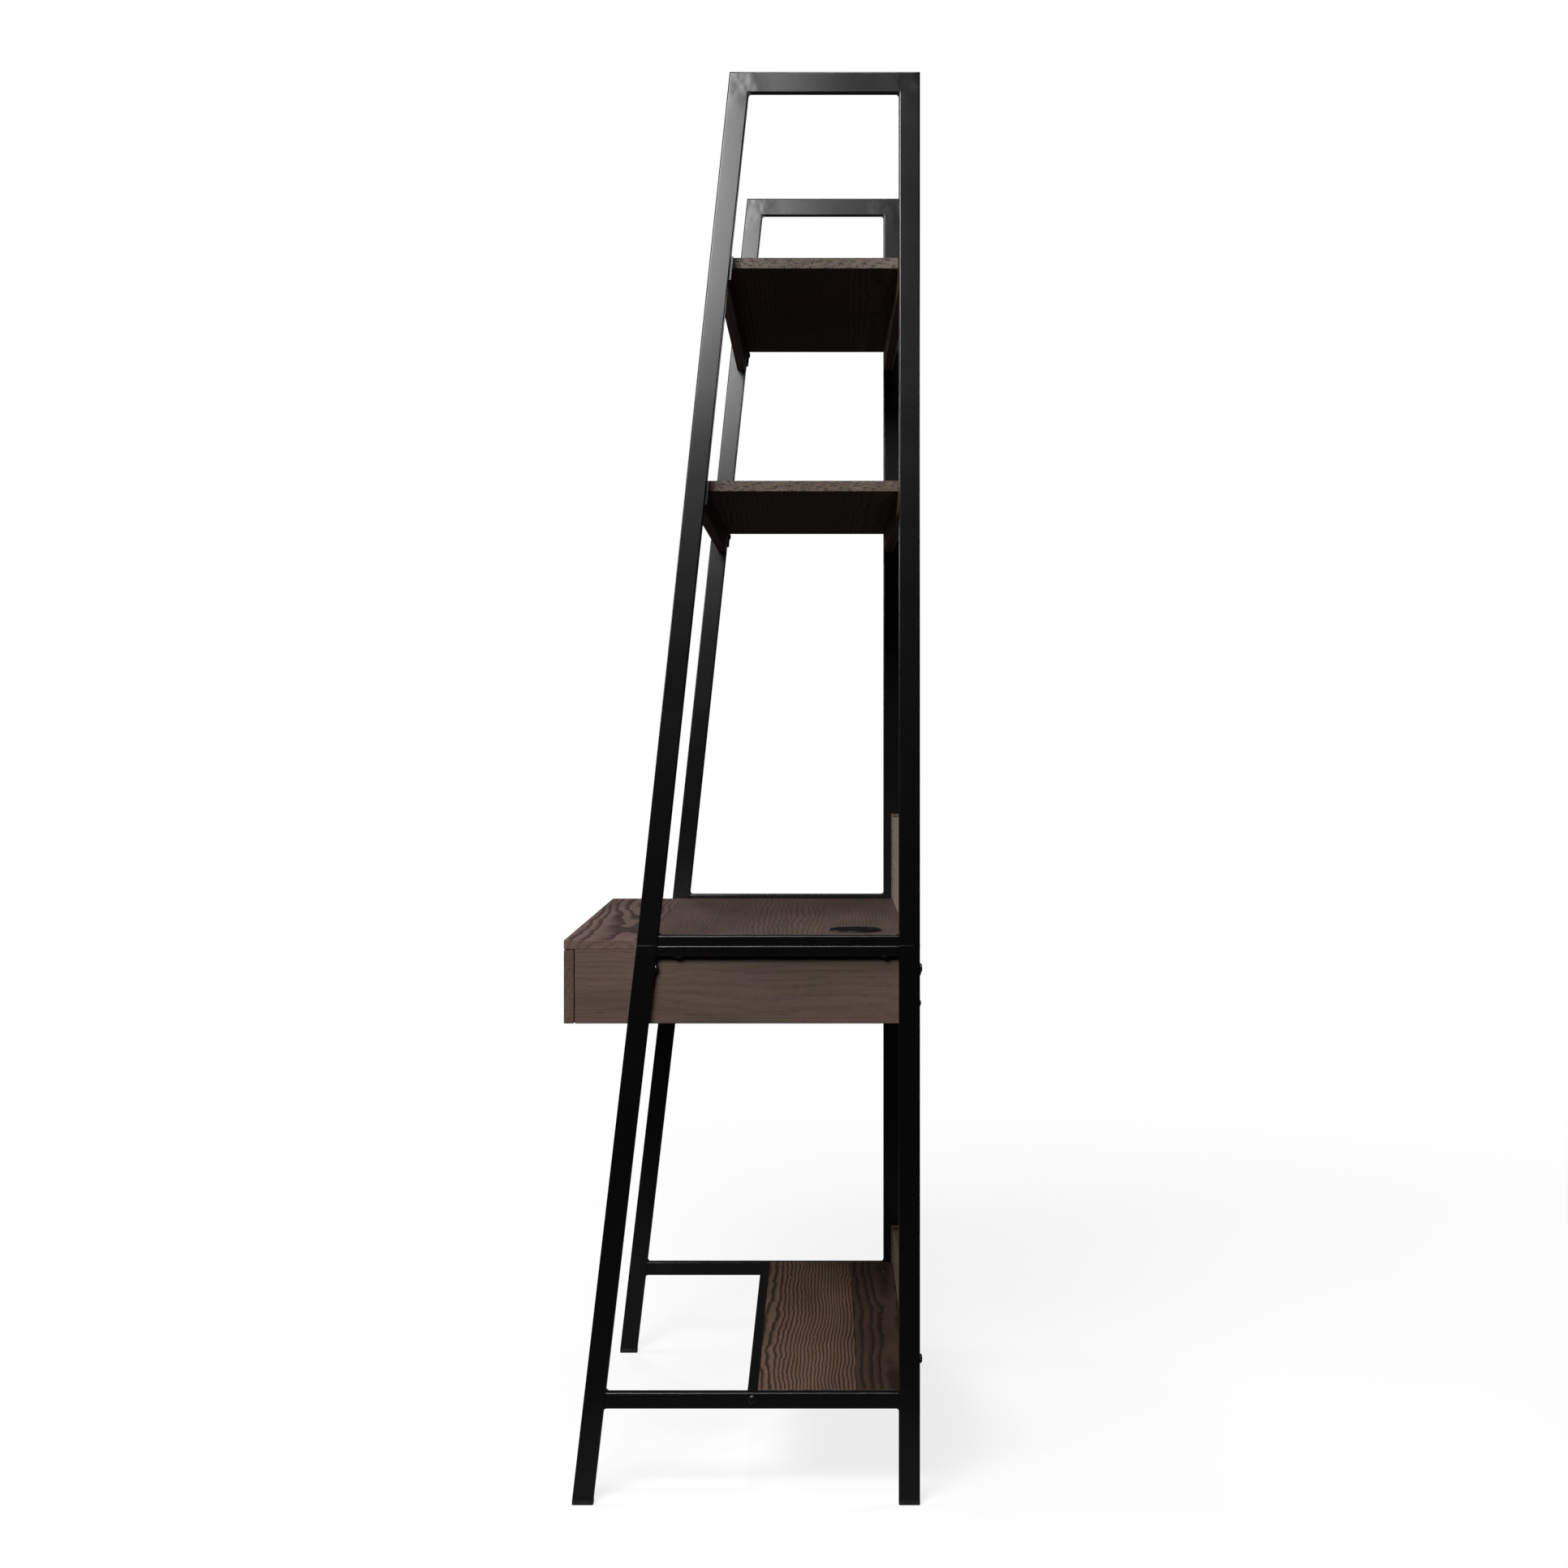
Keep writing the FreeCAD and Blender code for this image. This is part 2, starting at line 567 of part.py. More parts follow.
def top_rail():
    """Mitred at both ends, with a weld in each inside corner."""
    low = FRAME_HEIGHT - LEG_DEPTH
    rear = (LEG_DEPTH, low)
    front = upper_leg(low, LEG_DEPTH)
    rail = tube([(0, FRAME_HEIGHT), (TOP_REACH, FRAME_HEIGHT), front, rear])
    welds = [weld(rear, front, (LEG_DEPTH, low - LEG_DEPTH)),
             weld(front, rear, upper_leg(low - LEG_DEPTH, LEG_DEPTH))]
    return rail.fuse(welds).removeSplitter()


def foot_cap(leg):
    """Plastic cap on the end of a leg, with a plug inside the tube."""
    low_z = FOOT_CAP_HEIGHT
    front, rear = leg(low_z)[0], leg(low_z, LEG_DEPTH)[0]
    low = block(INNER_X, HALF_WIDTH, rear, front, 0, FOOT_CAP_HEIGHT)
    low = low.makeChamfer(FOOT_CAP_CHAMFER, [edge for edge in low.Edges
                                             if edge.BoundBox.ZMax < FOOT_CAP_HEIGHT])
    inset = TUBE_WALL + TUBE_FIT
    far = LEG_DEPTH - inset
    plug_top = FOOT_CAP_HEIGHT + FOOT_PLUG_LENGTH
    plug = plate([leg(low_z, inset), leg(plug_top, inset), leg(plug_top, far),
                  leg(low_z, far)], INNER_X + inset, HALF_WIDTH - inset)
    return low.fuse(plug).removeSplitter()


def joint_sleeve(outline, place):
    """Steel bar that joins an upper leg to a lower leg, tapped for the joint screw."""
    inset = TUBE_WALL + TUBE_FIT
    sleeve = plate(outline, INNER_X + inset, HALF_WIDTH - inset)
    return drilled(sleeve, [place], BOLT_RADIUS + THREAD_FIT, LEG_SCREW_LENGTH + HOLE_SPARE)


def joint_sleeves():
    """Front and rear sleeves; the front one bends with the leg at the seam."""
    inset = TUBE_WALL + TUBE_FIT
    far = LEG_DEPTH - inset
    low = SEAM_HEIGHT - SLEEVE_HALF_LENGTH
    high = SEAM_HEIGHT + SLEEVE_HALF_LENGTH
    front = [lower_leg(low, inset), lower_leg(SEAM_HEIGHT, inset), upper_leg(high, inset),
             upper_leg(high, far), lower_leg(SEAM_HEIGHT, far), lower_leg(low, far)]
    rear = [(inset, low), (inset, high), (far, high), (far, low)]
    return [joint_sleeve(front, front_joint_place()), joint_sleeve(rear, rear_joint_place())]


# ---- Front stretcher -----------------------------------------------------------------
def front_stretcher():
    """Cross tube between the foot rails."""
    half = TUBE_THICKNESS / 2
    low = STRETCHER_TOP - CROSS_TUBE_HEIGHT
    solid = block(-INNER_X, INNER_X, STRETCHER_REACH - half, STRETCHER_REACH + half,
                  low, STRETCHER_TOP)
    across = [edge for edge in solid.Edges if edge.Length > INNER_X]
    solid = solid.makeFillet(TUBE_CORNER, across)
    inner = half - TUBE_WALL
    return solid.cut(block(-HALF_WIDTH, HALF_WIDTH, STRETCHER_REACH - inner,
                           STRETCHER_REACH + inner, low + TUBE_WALL, STRETCHER_TOP - TUBE_WALL))


def stretcher_end_plug():
    """Tapped block pressed into the stretcher's end."""
    inset = TUBE_WALL + TUBE_FIT
    half = TUBE_THICKNESS / 2 - inset
    low = STRETCHER_TOP - CROSS_TUBE_HEIGHT
    plug = block(INNER_X - END_PLUG_LENGTH, INNER_X, STRETCHER_REACH - half,
                 STRETCHER_REACH + half, low + inset, STRETCHER_TOP - inset)
    return drilled(plug, [stretcher_bolt_place()], BOLT_RADIUS + THREAD_FIT,
                   TUBE_THICKNESS + END_PLUG_LENGTH + HOLE_SPARE)


# ---- Bottom shelf --------------------------------------------------------------------
def bottom_shelf_panel():
    """Shelf between the stretcher and the back board."""
    front = STRETCHER_REACH - TUBE_THICKNESS / 2 - BOARD_FIT
    panel = board(-BOARD_X, BOARD_X, BOARD_REAR, front, BOTTOM_SHELF_UNDERSIDE, BOTTOM_SHELF_TOP)
    panel = drilled(panel, both_ways(bottom_tab_places()), TAB_SCREW_RADIUS + THREAD_FIT,
                    TAB_THICKNESS + TAB_SCREW_BITE + HOLE_SPARE)
    return drilled(panel, bottom_back_screw_places(), TAB_SCREW_RADIUS + THREAD_FIT,
                   BACK_THICKNESS + BACK_SCREW_BITE + HOLE_SPARE)


def bottom_shelf_tab(place):
    """Steel tab on the inner face of the foot rail, under the shelf."""
    reach = REAR_Y - place[0].y
    half = BOTTOM_TAB_WIDTH / 2
    tab = block(INNER_X - BOTTOM_TAB_LENGTH, INNER_X, reach - half, reach + half,
                BOTTOM_SHELF_UNDERSIDE - TAB_THICKNESS, BOTTOM_SHELF_UNDERSIDE)
    return drilled(tab, [place], TAB_SCREW_RADIUS + BOLT_PLAY, TAB_THICKNESS + HOLE_SPARE)


def back_board(z_low, z_shoulder, z_high, screw_places):
    """Back board, full width below its shoulders and between the end blocks above them."""
    wide = BOARD_X
    narrow = INNER_X - END_BLOCK_WIDTH
    corners = [(-wide, z_low), (wide, z_low), (wide, z_shoulder), (narrow, z_shoulder),
               (narrow, z_high), (-narrow, z_high), (-narrow, z_shoulder), (-wide, z_shoulder)]
    corners = [point(x, 0, z) for x, z in corners]
    face = Part.Face(Part.makePolygon(corners + corners[:1]))
    solid = face.extrude(FORWARD * BACK_THICKNESS)
    outer = [edge for edge in solid.Edges if edge.CenterOfMass.z > z_high - 0.1]
    solid = solid.makeFillet(BOARD_EASE, outer)
    return drilled(solid, screw_places, TAB_SCREW_RADIUS + BOLT_PLAY,
                   BACK_THICKNESS + HOLE_SPARE)


def end_block(z_shoulder, z_high):
    """Wooden block on the shoulder of a back board, against the rear leg."""
    return board(INNER_X - END_BLOCK_WIDTH, INNER_X, 0, BACK_THICKNESS + END_BLOCK_PROUD,
                 z_shoulder, z_high + END_BLOCK_RISE)


# ---- Desk box ------------------------------------------------------------------------
def desk_dowel_places():
    """Right-hand dowels that stand in the side board and enter the desktop."""
    x = BOARD_X - CASE_THICKNESS / 2
    z = DESKTOP_UNDERSIDE + DOWEL_SEAT - DOWEL_LENGTH
    rear = BOARD_REAR + DESK_DOWEL_INSET
    front = CASE_FRONT - DESK_DOWEL_INSET
    return [(point(x, reach, z), UP) for reach in (rear, (rear + front) / 2, front)]


def desktop_panel():
    """Desktop with the grommet's hole and blind dowel holes underneath."""
    panel = board(-BOARD_X, BOARD_X, BOARD_REAR, DESK_DEPTH, DESKTOP_UNDERSIDE, DESKTOP_TOP)
    hole_start = point(GROMMET_X, GROMMET_REACH, DESKTOP_UNDERSIDE - HOLE_SPARE)
    panel = panel.cut(rod(hole_start, UP, GROMMET_BORE / 2, DESKTOP_THICKNESS + 2 * HOLE_SPARE))
    panel = drilled(panel, both_ways(desk_dowel_places()), DOWEL_RADIUS + THREAD_FIT,
                    DOWEL_LENGTH + HOLE_SPARE)
    return drilled(panel, desk_back_screw_places(), TAB_SCREW_RADIUS + THREAD_FIT,
                   BACK_THICKNESS + BACK_SCREW_BITE + HOLE_SPARE)


def desk_side():
    """Right-hand side board of the desk box."""
    side = board(CASE_INNER_X, BOARD_X, BOARD_REAR, CASE_FRONT, DESK_BOTTOM, DESKTOP_UNDERSIDE)
    side = drilled(side, box_bolt_places(), BOLT_RADIUS + BOLT_PLAY, CASE_THICKNESS + HOLE_SPARE)
    side = drilled(side, desk_side_screw_places(), TAB_SCREW_RADIUS + THREAD_FIT,
                   BACK_THICKNESS + BACK_SCREW_BITE + HOLE_SPARE)
    side = drilled(side, case_slide_places(), SLIDE_SCREW_DIAMETER / 2 + THREAD_FIT,
                   SLIDE_SCREW_LENGTH + HOLE_SPARE)
    return drilled(side, desk_dowel_places(), DOWEL_RADIUS + THREAD_FIT, DOWEL_LENGTH)


def desk_front_rail():
    """Flat rail under the front of the desktop, between the side boards."""
    return board(-CASE_INNER_X, CASE_INNER_X, CASE_FRONT - FRONT_RAIL_DEPTH, CASE_FRONT,
                 DESKTOP_UNDERSIDE - FRONT_RAIL_THICKNESS, DESKTOP_UNDERSIDE)


# ---- Cable grommet -------------------------------------------------------------------
def ring(outer_radius, inner_radius, z_low, z_high):
    """Ring round the grommet's axis."""
    start = point(GROMMET_X, GROMMET_REACH, z_low)
    solid = rod(start, UP, outer_radius, z_high - z_low)
    return solid.cut(rod(start, UP, inner_radius, z_high - z_low))


def grommet_sleeve():
    """Flanged plastic sleeve with a ledge that carries the cap."""
    outer = GROMMET_BORE / 2 - TURN_FIT
    inner = outer - GROMMET_WALL
    top = DESKTOP_TOP + GROMMET_FLANGE_HEIGHT
    flange = ring(GROMMET_FLANGE_DIAMETER / 2, inner, DESKTOP_TOP, top)
    rim = [edge for edge in flange.Edges
           if edge.BoundBox.ZMin > top - 0.1 and edge.BoundBox.XLength > 2 * outer]
    flange = flange.makeFillet(GROMMET_FLANGE_HEIGHT / 2, rim)
    body = ring(outer, inner, DESKTOP_TOP - GROMMET_DEPTH, DESKTOP_TOP)
    ledge_top = top + CAP_PROUD - CAP_THICKNESS - TURN_FIT
    ledge = ring(inner, inner - GROMMET_LEDGE_WIDTH, ledge_top - GROMMET_LEDGE_HEIGHT, ledge_top)
    return flange.fuse([body, ledge]).removeSplitter()


def grommet_cap():
    """Turning cap with a round-ended cable slot at its rim."""
    radius = GROMMET_BORE / 2 - TURN_FIT - GROMMET_WALL - TURN_FIT
    low = DESKTOP_TOP + GROMMET_FLANGE_HEIGHT + CAP_PROUD - CAP_THICKNESS
    cap = rod(point(GROMMET_X, GROMMET_REACH, low), UP, radius, CAP_THICKNESS)
    rim = [edge for edge in cap.Edges if edge.BoundBox.ZMin > low + CAP_THICKNESS / 2
           and edge.BoundBox.XLength > radius]
    cap = cap.makeFillet(CAP_THICKNESS / 4, rim)
    slot_end = GROMMET_REACH - radius + CAP_SLOT_DEPTH - CAP_SLOT_WIDTH / 2
    slot = block(GROMMET_X - CAP_SLOT_WIDTH / 2, GROMMET_X + CAP_SLOT_WIDTH / 2,
                 GROMMET_REACH - 2 * radius, slot_end, low - HOLE_SPARE,
                 low + CAP_THICKNESS + HOLE_SPARE)
    round_end = rod(point(GROMMET_X, slot_end, low - HOLE_SPARE), UP, CAP_SLOT_WIDTH / 2,
                    CAP_THICKNESS + 2 * HOLE_SPARE)
    return cap.cut([slot, round_end])


# ---- Drawer --------------------------------------------------------------------------
def drawer_dowel_places():
    """Right-hand dowels from the drawer side into the drawer face."""
    x = DRAWER_SIDE_X - DRAWER_SIDE_THICKNESS / 2
    reach = FACE_REAR + DOWEL_SEAT - DOWEL_LENGTH
    step = DRAWER_SIDE_HEIGHT / 4
    return [(point(x, reach, SLIDE_Z + shift), FORWARD) for shift in (-step, step)]


def drawer_face():
    """Full-width drawer face with a routed finger pull behind its lower edge."""
    face = board(-BOARD_X, BOARD_X, FACE_REAR, DESK_DEPTH, DESK_BOTTOM,
                 DESKTOP_UNDERSIDE - DRAWER_FACE_GAP)
    half = FINGER_PULL_WIDTH / 2
    face = face.cut(block(-half, half, FACE_REAR - HOLE_SPARE, FACE_REAR + FINGER_PULL_DEPTH,
                          DESK_BOTTOM - HOLE_SPARE, DESK_BOTTOM + FINGER_PULL_HEIGHT))
    return drilled(face, both_ways(drawer_dowel_places()), DOWEL_RADIUS + THREAD_FIT,
                   DOWEL_LENGTH + HOLE_SPARE)


def drawer_side():
    """Right-hand drawer side with a groove for the bottom."""
    side = block(DRAWER_INNER_X, DRAWER_SIDE_X, DRAWER_REAR, FACE_REAR,
                 DRAWER_SIDE_BOTTOM, DRAWER_SIDE_TOP)
    side = side.cut(block(DRAWER_INNER_X, DRAWER_INNER_X + GROOVE_DEPTH, DRAWER_REAR, FACE_REAR,
                          DRAWER_FLOOR, DRAWER_FLOOR + DRAWER_BOTTOM_THICKNESS))
    side = drilled(side, drawer_slide_places(), SLIDE_SCREW_DIAMETER / 2 + THREAD_FIT,
                   SLIDE_SCREW_LENGTH + HOLE_SPARE)
    return drilled(side, drawer_dowel_places(), DOWEL_RADIUS + THREAD_FIT, DOWEL_LENGTH)


def drawer_back():
    """Back of the drawer box, standing on the bottom."""
    return block(-DRAWER_INNER_X, DRAWER_INNER_X, DRAWER_REAR,
                 DRAWER_REAR + DRAWER_SIDE_THICKNESS,
                 DRAWER_FLOOR + DRAWER_BOTTOM_THICKNESS, DRAWER_SIDE_TOP)


def drawer_bottom():
    """Thin bottom, held in the grooves of the sides."""
    half = DRAWER_INNER_X + GROOVE_DEPTH - BOARD_FIT
    return block(-half, half, DRAWER_REAR, FACE_REAR, DRAWER_FLOOR,
                 DRAWER_FLOOR + DRAWER_BOTTOM_THICKNESS)


# ---- Drawer slides -------------------------------------------------------------------
def slide_screw_reaches():
    """Three screws along a slide."""
    middle = (SLIDE_FRONT + SLIDE_REAR) / 2
    return (middle - SLIDE_SCREW_SPACING, middle, middle + SLIDE_SCREW_SPACING)


def case_slide_places():
    """Screws from the outer member's web into the side board."""
    x = CASE_INNER_X - SLIDE_SHEET
    return [(point(x, reach, SLIDE_Z), OUTWARD) for reach in slide_screw_reaches()]


def drawer_slide_places():
    """Screws from the inner member's web into the drawer side."""
    x = DRAWER_SIDE_X + SLIDE_SHEET
    return [(point(x, reach, SLIDE_Z), INWARD) for reach in slide_screw_reaches()]


def channel(x_web, x_flange, height):
    """Sheet-steel channel: a web between two x values and two flanges as far as a third."""
    half = height / 2
    x_low, x_high = sorted((x_web, x_flange))
    solid = block(x_low, x_high, SLIDE_REAR, SLIDE_FRONT, SLIDE_Z - half, SLIDE_Z + half)
    step = SLIDE_SHEET if x_flange > x_web else -SLIDE_SHEET
    low, high = sorted((x_web + step, x_flange + step))
    inner = half - SLIDE_SHEET
    return solid.cut(block(low, high, SLIDE_REAR, SLIDE_FRONT, SLIDE_Z - inner, SLIDE_Z + inner))


def flush_hole(solid, places):
    """Countersunk holes through a slide's web."""
    head = SLIDE_SCREW_HEAD_DIAMETER / 2 + THREAD_FIT
    shank = SLIDE_SCREW_DIAMETER / 2 + THREAD_FIT
    cutter = turned([(0, -HOLE_SPARE), (head, -HOLE_SPARE), (head, 0), (shank, SLIDE_SHEET),
                     (shank, SLIDE_SHEET + HOLE_SPARE), (0, SLIDE_SHEET + HOLE_SPARE)])
    return solid.cut(group_at(cutter, places))


def slide_outer():
    """Member on the side board, open towards the drawer."""
    member = channel(CASE_INNER_X, CASE_INNER_X - SLIDE_FLANGE, SLIDE_HEIGHT)
    return flush_hole(member, case_slide_places())


def slide_middle():
    """Member between the other two, inside the outer one."""
    web = CASE_INNER_X - SLIDE_SHEET - 2 * SLIDE_GAP
    return channel(web, web - SLIDE_FLANGE, SLIDE_HEIGHT - 2 * (SLIDE_SHEET + SLIDE_GAP))


def slide_inner():
    """Member on the drawer side, inside the middle one."""
    member = channel(DRAWER_SIDE_X, DRAWER_SIDE_X + SLIDE_FLANGE,
                     SLIDE_HEIGHT - 4 * (SLIDE_SHEET + SLIDE_GAP))
    return flush_hole(member, drawer_slide_places())


# ---- Upper shelves -------------------------------------------------------------------
def shelf_panel(top):
    """Panel between the two rails, its front edge slanted like the legs."""
    low = top - SHELF_THICKNESS
    panel = eased_plate([(LEG_DEPTH, low), (LEG_DEPTH, top), upper_leg(top, LEG_DEPTH),
                         upper_leg(low, LEG_DEPTH)], -PANEL_X, PANEL_X)
    return drilled(panel, rear_dowel_places(top) + front_dowel_places(top),
                   DOWEL_RADIUS + THREAD_FIT, DOWEL_LENGTH + HOLE_SPARE)


def rear_dowel_places(top):
    """Dowels from the back rail into the panel."""
    reach = LEG_DEPTH - DOWEL_SEAT
    z = top - SHELF_THICKNESS / 2
    return [(point(x, reach, z), FORWARD) for x in spread(DOWEL_SPREAD)]


def front_dowel_places(top):
    """Dowels from the front rail back into the panel."""
    z = top - SHELF_THICKNESS / 2
    reach = upper_leg(z, LEG_DEPTH)[0] + DOWEL_SEAT
    return [(point(x, reach, z), -FORWARD) for x in spread(DOWEL_SPREAD)]


def shelf_front_rail(top):
    """Front rail, parallel to the legs, level with the panel on top."""
    near = LEG_DEPTH - SHELF_RAIL_THICKNESS
    drop = SHELF_RAIL_THICKNESS * UPPER_SLOPE / math.hypot(1, UPPER_SLOPE)
    low = top - SHELF_RAIL_HEIGHT
    rail = eased_plate([upper_leg(top, near), upper_leg(top, LEG_DEPTH),
                        upper_leg(low, LEG_DEPTH), upper_leg(low + drop, near)],
                       -BOARD_X, BOARD_X)
    rail = drilled(rail, front_dowel_places(top), DOWEL_RADIUS + THREAD_FIT, DOWEL_LENGTH)
    return drilled_for_tabs(rail, front_tab_place(top))


def shelf_back_rail(top):
    """Upright back rail between the rear legs."""
    rail = board(-BOARD_X, BOARD_X, LEG_DEPTH - SHELF_RAIL_THICKNESS, LEG_DEPTH,
                 top - SHELF_RAIL_HEIGHT, top)
    rail = drilled(rail, rear_dowel_places(top), DOWEL_RADIUS + THREAD_FIT, DOWEL_LENGTH)
    return drilled_for_tabs(rail, rear_tab_place(top))


def drilled_for_tabs(rail, place):
    """Rail with a screw hole at a right-hand place and at the same place on the left."""
    return drilled(rail, both_ways([place]), TAB_SCREW_RADIUS + THREAD_FIT,
                   TAB_THICKNESS + TAB_SCREW_BITE + HOLE_SPARE)


def tab_middle(top):
    """Height of the middle of a shelf's tabs."""
    return top - SHELF_TAB_DROP - SHELF_TAB_HEIGHT / 2


def front_tab_place(top):
    """Screw through the front tab into the front rail."""
    steep = math.hypot(1, UPPER_SLOPE)
    reach, z = upper_leg(tab_middle(top), LEG_DEPTH + TAB_THICKNESS)
    way = FreeCAD.Vector(0, -1 / steep, UPPER_SLOPE / steep)
    return point(PANEL_X + (SHELF_END_GAP + SHELF_TAB_FIT) / 2, reach, z), way


def rear_tab_place(top):
    """Screw through the rear tab into the back rail."""
    reach = LEG_DEPTH - SHELF_RAIL_THICKNESS - TAB_THICKNESS
    x = PANEL_X + (SHELF_END_GAP + SHELF_TAB_FIT) / 2
    return point(x, reach, tab_middle(top)), FORWARD


def front_tab(top):
    """Steel tab on the rear faces of the front leg and the front rail."""
    middle = tab_middle(top)
    low, high = middle - SHELF_TAB_HEIGHT / 2, middle + SHELF_TAB_HEIGHT / 2
    far = LEG_DEPTH + TAB_THICKNESS
    tab = plate([upper_leg(low, LEG_DEPTH), upper_leg(high, LEG_DEPTH),
                 upper_leg(high, far), upper_leg(low, far)],
                PANEL_X + SHELF_TAB_FIT, INNER_X + SHELF_TAB_LAP)
    return drilled(tab, [front_tab_place(top)], TAB_SCREW_RADIUS + BOLT_PLAY,
                   TAB_THICKNESS + HOLE_SPARE)


def rear_tab(top):
    """Steel tab welded edge-on to the rear leg's inner face, behind the back rail."""
    middle = tab_middle(top)
    near = LEG_DEPTH - SHELF_RAIL_THICKNESS
    tab = block(PANEL_X + SHELF_TAB_FIT, INNER_X, near - TAB_THICKNESS, near,
                middle - SHELF_TAB_HEIGHT / 2, middle + SHELF_TAB_HEIGHT / 2)
    return drilled(tab, [rear_tab_place(top)], TAB_SCREW_RADIUS + BOLT_PLAY,
                   TAB_THICKNESS + HOLE_SPARE)


# ---- The whole desk ------------------------------------------------------------------
def frame_parts():
    """Tubes of both side frames, one node each."""
    makers = {"lower_front_leg": lower_front_leg, "lower_rear_leg": lower_rear_leg,
              "foot_rail": foot_rail, "lower_desk_rail": lower_desk_rail,
              "upper_front_leg": upper_front_leg, "upper_rear_leg": upper_rear_leg,
              "upper_desk_rail": upper_desk_rail, "top_rail": top_rail}
    parts = {}
    for name, maker in makers.items():
        right = maker()
        parts["right_" + name] = [right]
        parts["left_" + name] = [mirrored(right)]
    return parts


def frame_fittings():
    """Caps, sleeves, the stretcher and the frames' bolts."""
    leg_screws = [front_joint_place(), rear_joint_place(), shelf_screw_place()]
    rail_bolt = socket_bolt(DESK_RAIL_HEIGHT + RAIL_BOLT_GRIP)
    stretcher_bolt = socket_bolt(TUBE_THICKNESS + END_PLUG_LENGTH / 2)
    return {
        "foot_caps": both_sides([foot_cap(lower_leg), foot_cap(rear_leg)]),
        "leg_joint_sleeves": both_sides(joint_sleeves()),
        "leg_screws": both_sides(group_at(socket_bolt(LEG_SCREW_LENGTH), leg_screws)),
        "desk_rail_bolts": both_sides(group_at(rail_bolt, rail_bolt_places())),
        "front_stretcher": [front_stretcher()],
        "stretcher_end_plugs": both_sides([stretcher_end_plug()]),
        "stretcher_bolts": both_sides(group_at(stretcher_bolt, [stretcher_bolt_place()])),
    }


def back_parts():
    """Back boards of the desk and the bottom shelf, with their blocks and screws."""
    desk_screws = desk_back_screw_places() + both_ways(desk_side_screw_places())
    shelf_screws = bottom_back_screw_places()
    long_screw = wood_screw(BACK_THICKNESS + BACK_SCREW_BITE)
    return {
        "desk_back_board": [back_board(DESK_BOTTOM, DESKTOP_TOP, DESK_BACK_TOP, desk_screws)],
        "bottom_back_board": [back_board(BOTTOM_SHELF_UNDERSIDE, BOTTOM_SHELF_TOP,
                                         BOTTOM_BACK_TOP, shelf_screws)],
        "back_board_end_blocks": both_sides([end_block(DESKTOP_TOP, DESK_BACK_TOP),
                                             end_block(BOTTOM_SHELF_TOP, BOTTOM_BACK_TOP)]),
        "back_board_screws": group_at(long_screw, desk_screws + shelf_screws),
    }


def desk_parts():
    """Desk box, its bolts and the grommet."""
    side = desk_side()
    slide_screws = group_at(flush_screw(), case_slide_places())
    return {
        "desktop_panel": [desktop_panel()],
        "right_desk_side": [side],
        "left_desk_side": [mirrored(side)],
        "desk_front_rail": [desk_front_rail()],
        "desk_box_bolts": both_sides(group_at(socket_bolt(BOX_BOLT_LENGTH), box_bolt_places())),
        "case_slide_screws": both_sides(slide_screws),
        "grommet_sleeve": [grommet_sleeve()],
        "grommet_cap": [grommet_cap()],
    }


def drawer_parts():
    """Drawer box and all slide members."""
    side = drawer_side()
    dowels = [dowel_at(seat, way) for seat, way in drawer_dowel_places()]
    parts = {
        "drawer_face": [drawer_face()],
        "drawer_right_side": [side],
        "drawer_left_side": [mirrored(side)],
        "drawer_back": [drawer_back()],
        "drawer_bottom": [drawer_bottom()],
        "drawer_dowels": both_sides(dowels),
        "drawer_slide_screws": both_sides(group_at(flush_screw(), drawer_slide_places())),
    }
    for member, maker in (("outer", slide_outer), ("middle", slide_middle),
                          ("inner", slide_inner)):
        right = maker()
        parts["right_slide_" + member] = [right]
        parts["left_slide_" + member] = [mirrored(right)]
    return parts


def shelf_parts():
    """Bottom shelf, both upper shelves, and the tabs, screws and dowels of all three."""
    tabs = []
    screw_places = bottom_tab_places()
    dowels = both_sides([dowel_at(seat, way) for seat, way in desk_dowel_places()])
    parts = {
        "bottom_shelf_panel": [bottom_shelf_panel()],
        "bottom_shelf_tabs": both_sides([bottom_shelf_tab(place) for place in screw_places]),
    }
    for name, top in SHELF_TOPS.items():
        parts[name + "_panel"] = [shelf_panel(top)]
        parts[name + "_front_rail"] = [shelf_front_rail(top)]
        parts[name + "_back_rail"] = [shelf_back_rail(top)]
        tabs += [front_tab(top), rear_tab(top)]
        screw_places += [front_tab_place(top), rear_tab_place(top)]
        dowel_places = rear_dowel_places(top) + front_dowel_places(top)
        dowels += [dowel_at(seat, way) for seat, way in dowel_places]
    short_screw = wood_screw(TAB_THICKNESS + TAB_SCREW_BITE)
    parts["shelf_tabs"] = both_sides(tabs)
    parts["tab_screws"] = both_sides(group_at(short_screw, screw_places))
    parts["wood_dowels"] = dowels
    return parts


def all_parts():
    """Every node of the desk, as a list of solids under its name."""
    parts = {}
    for group in (frame_parts(), frame_fittings(), back_parts(), desk_parts(),
                  drawer_parts(), shelf_parts()):
        parts.update(group)
    return parts


os.makedirs("parts", exist_ok=True)
for node, solids in all_parts().items():
    shape = solids[0] if len(solids) == 1 else Part.makeCompound(solids)
    shape.exportStep("parts/" + node + ".step")
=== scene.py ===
"""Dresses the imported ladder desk: painted steel side frames, stained oak boards,
a drawer on ball slides and a plastic cable grommet, standing in a plain pale studio."""

import json
import math

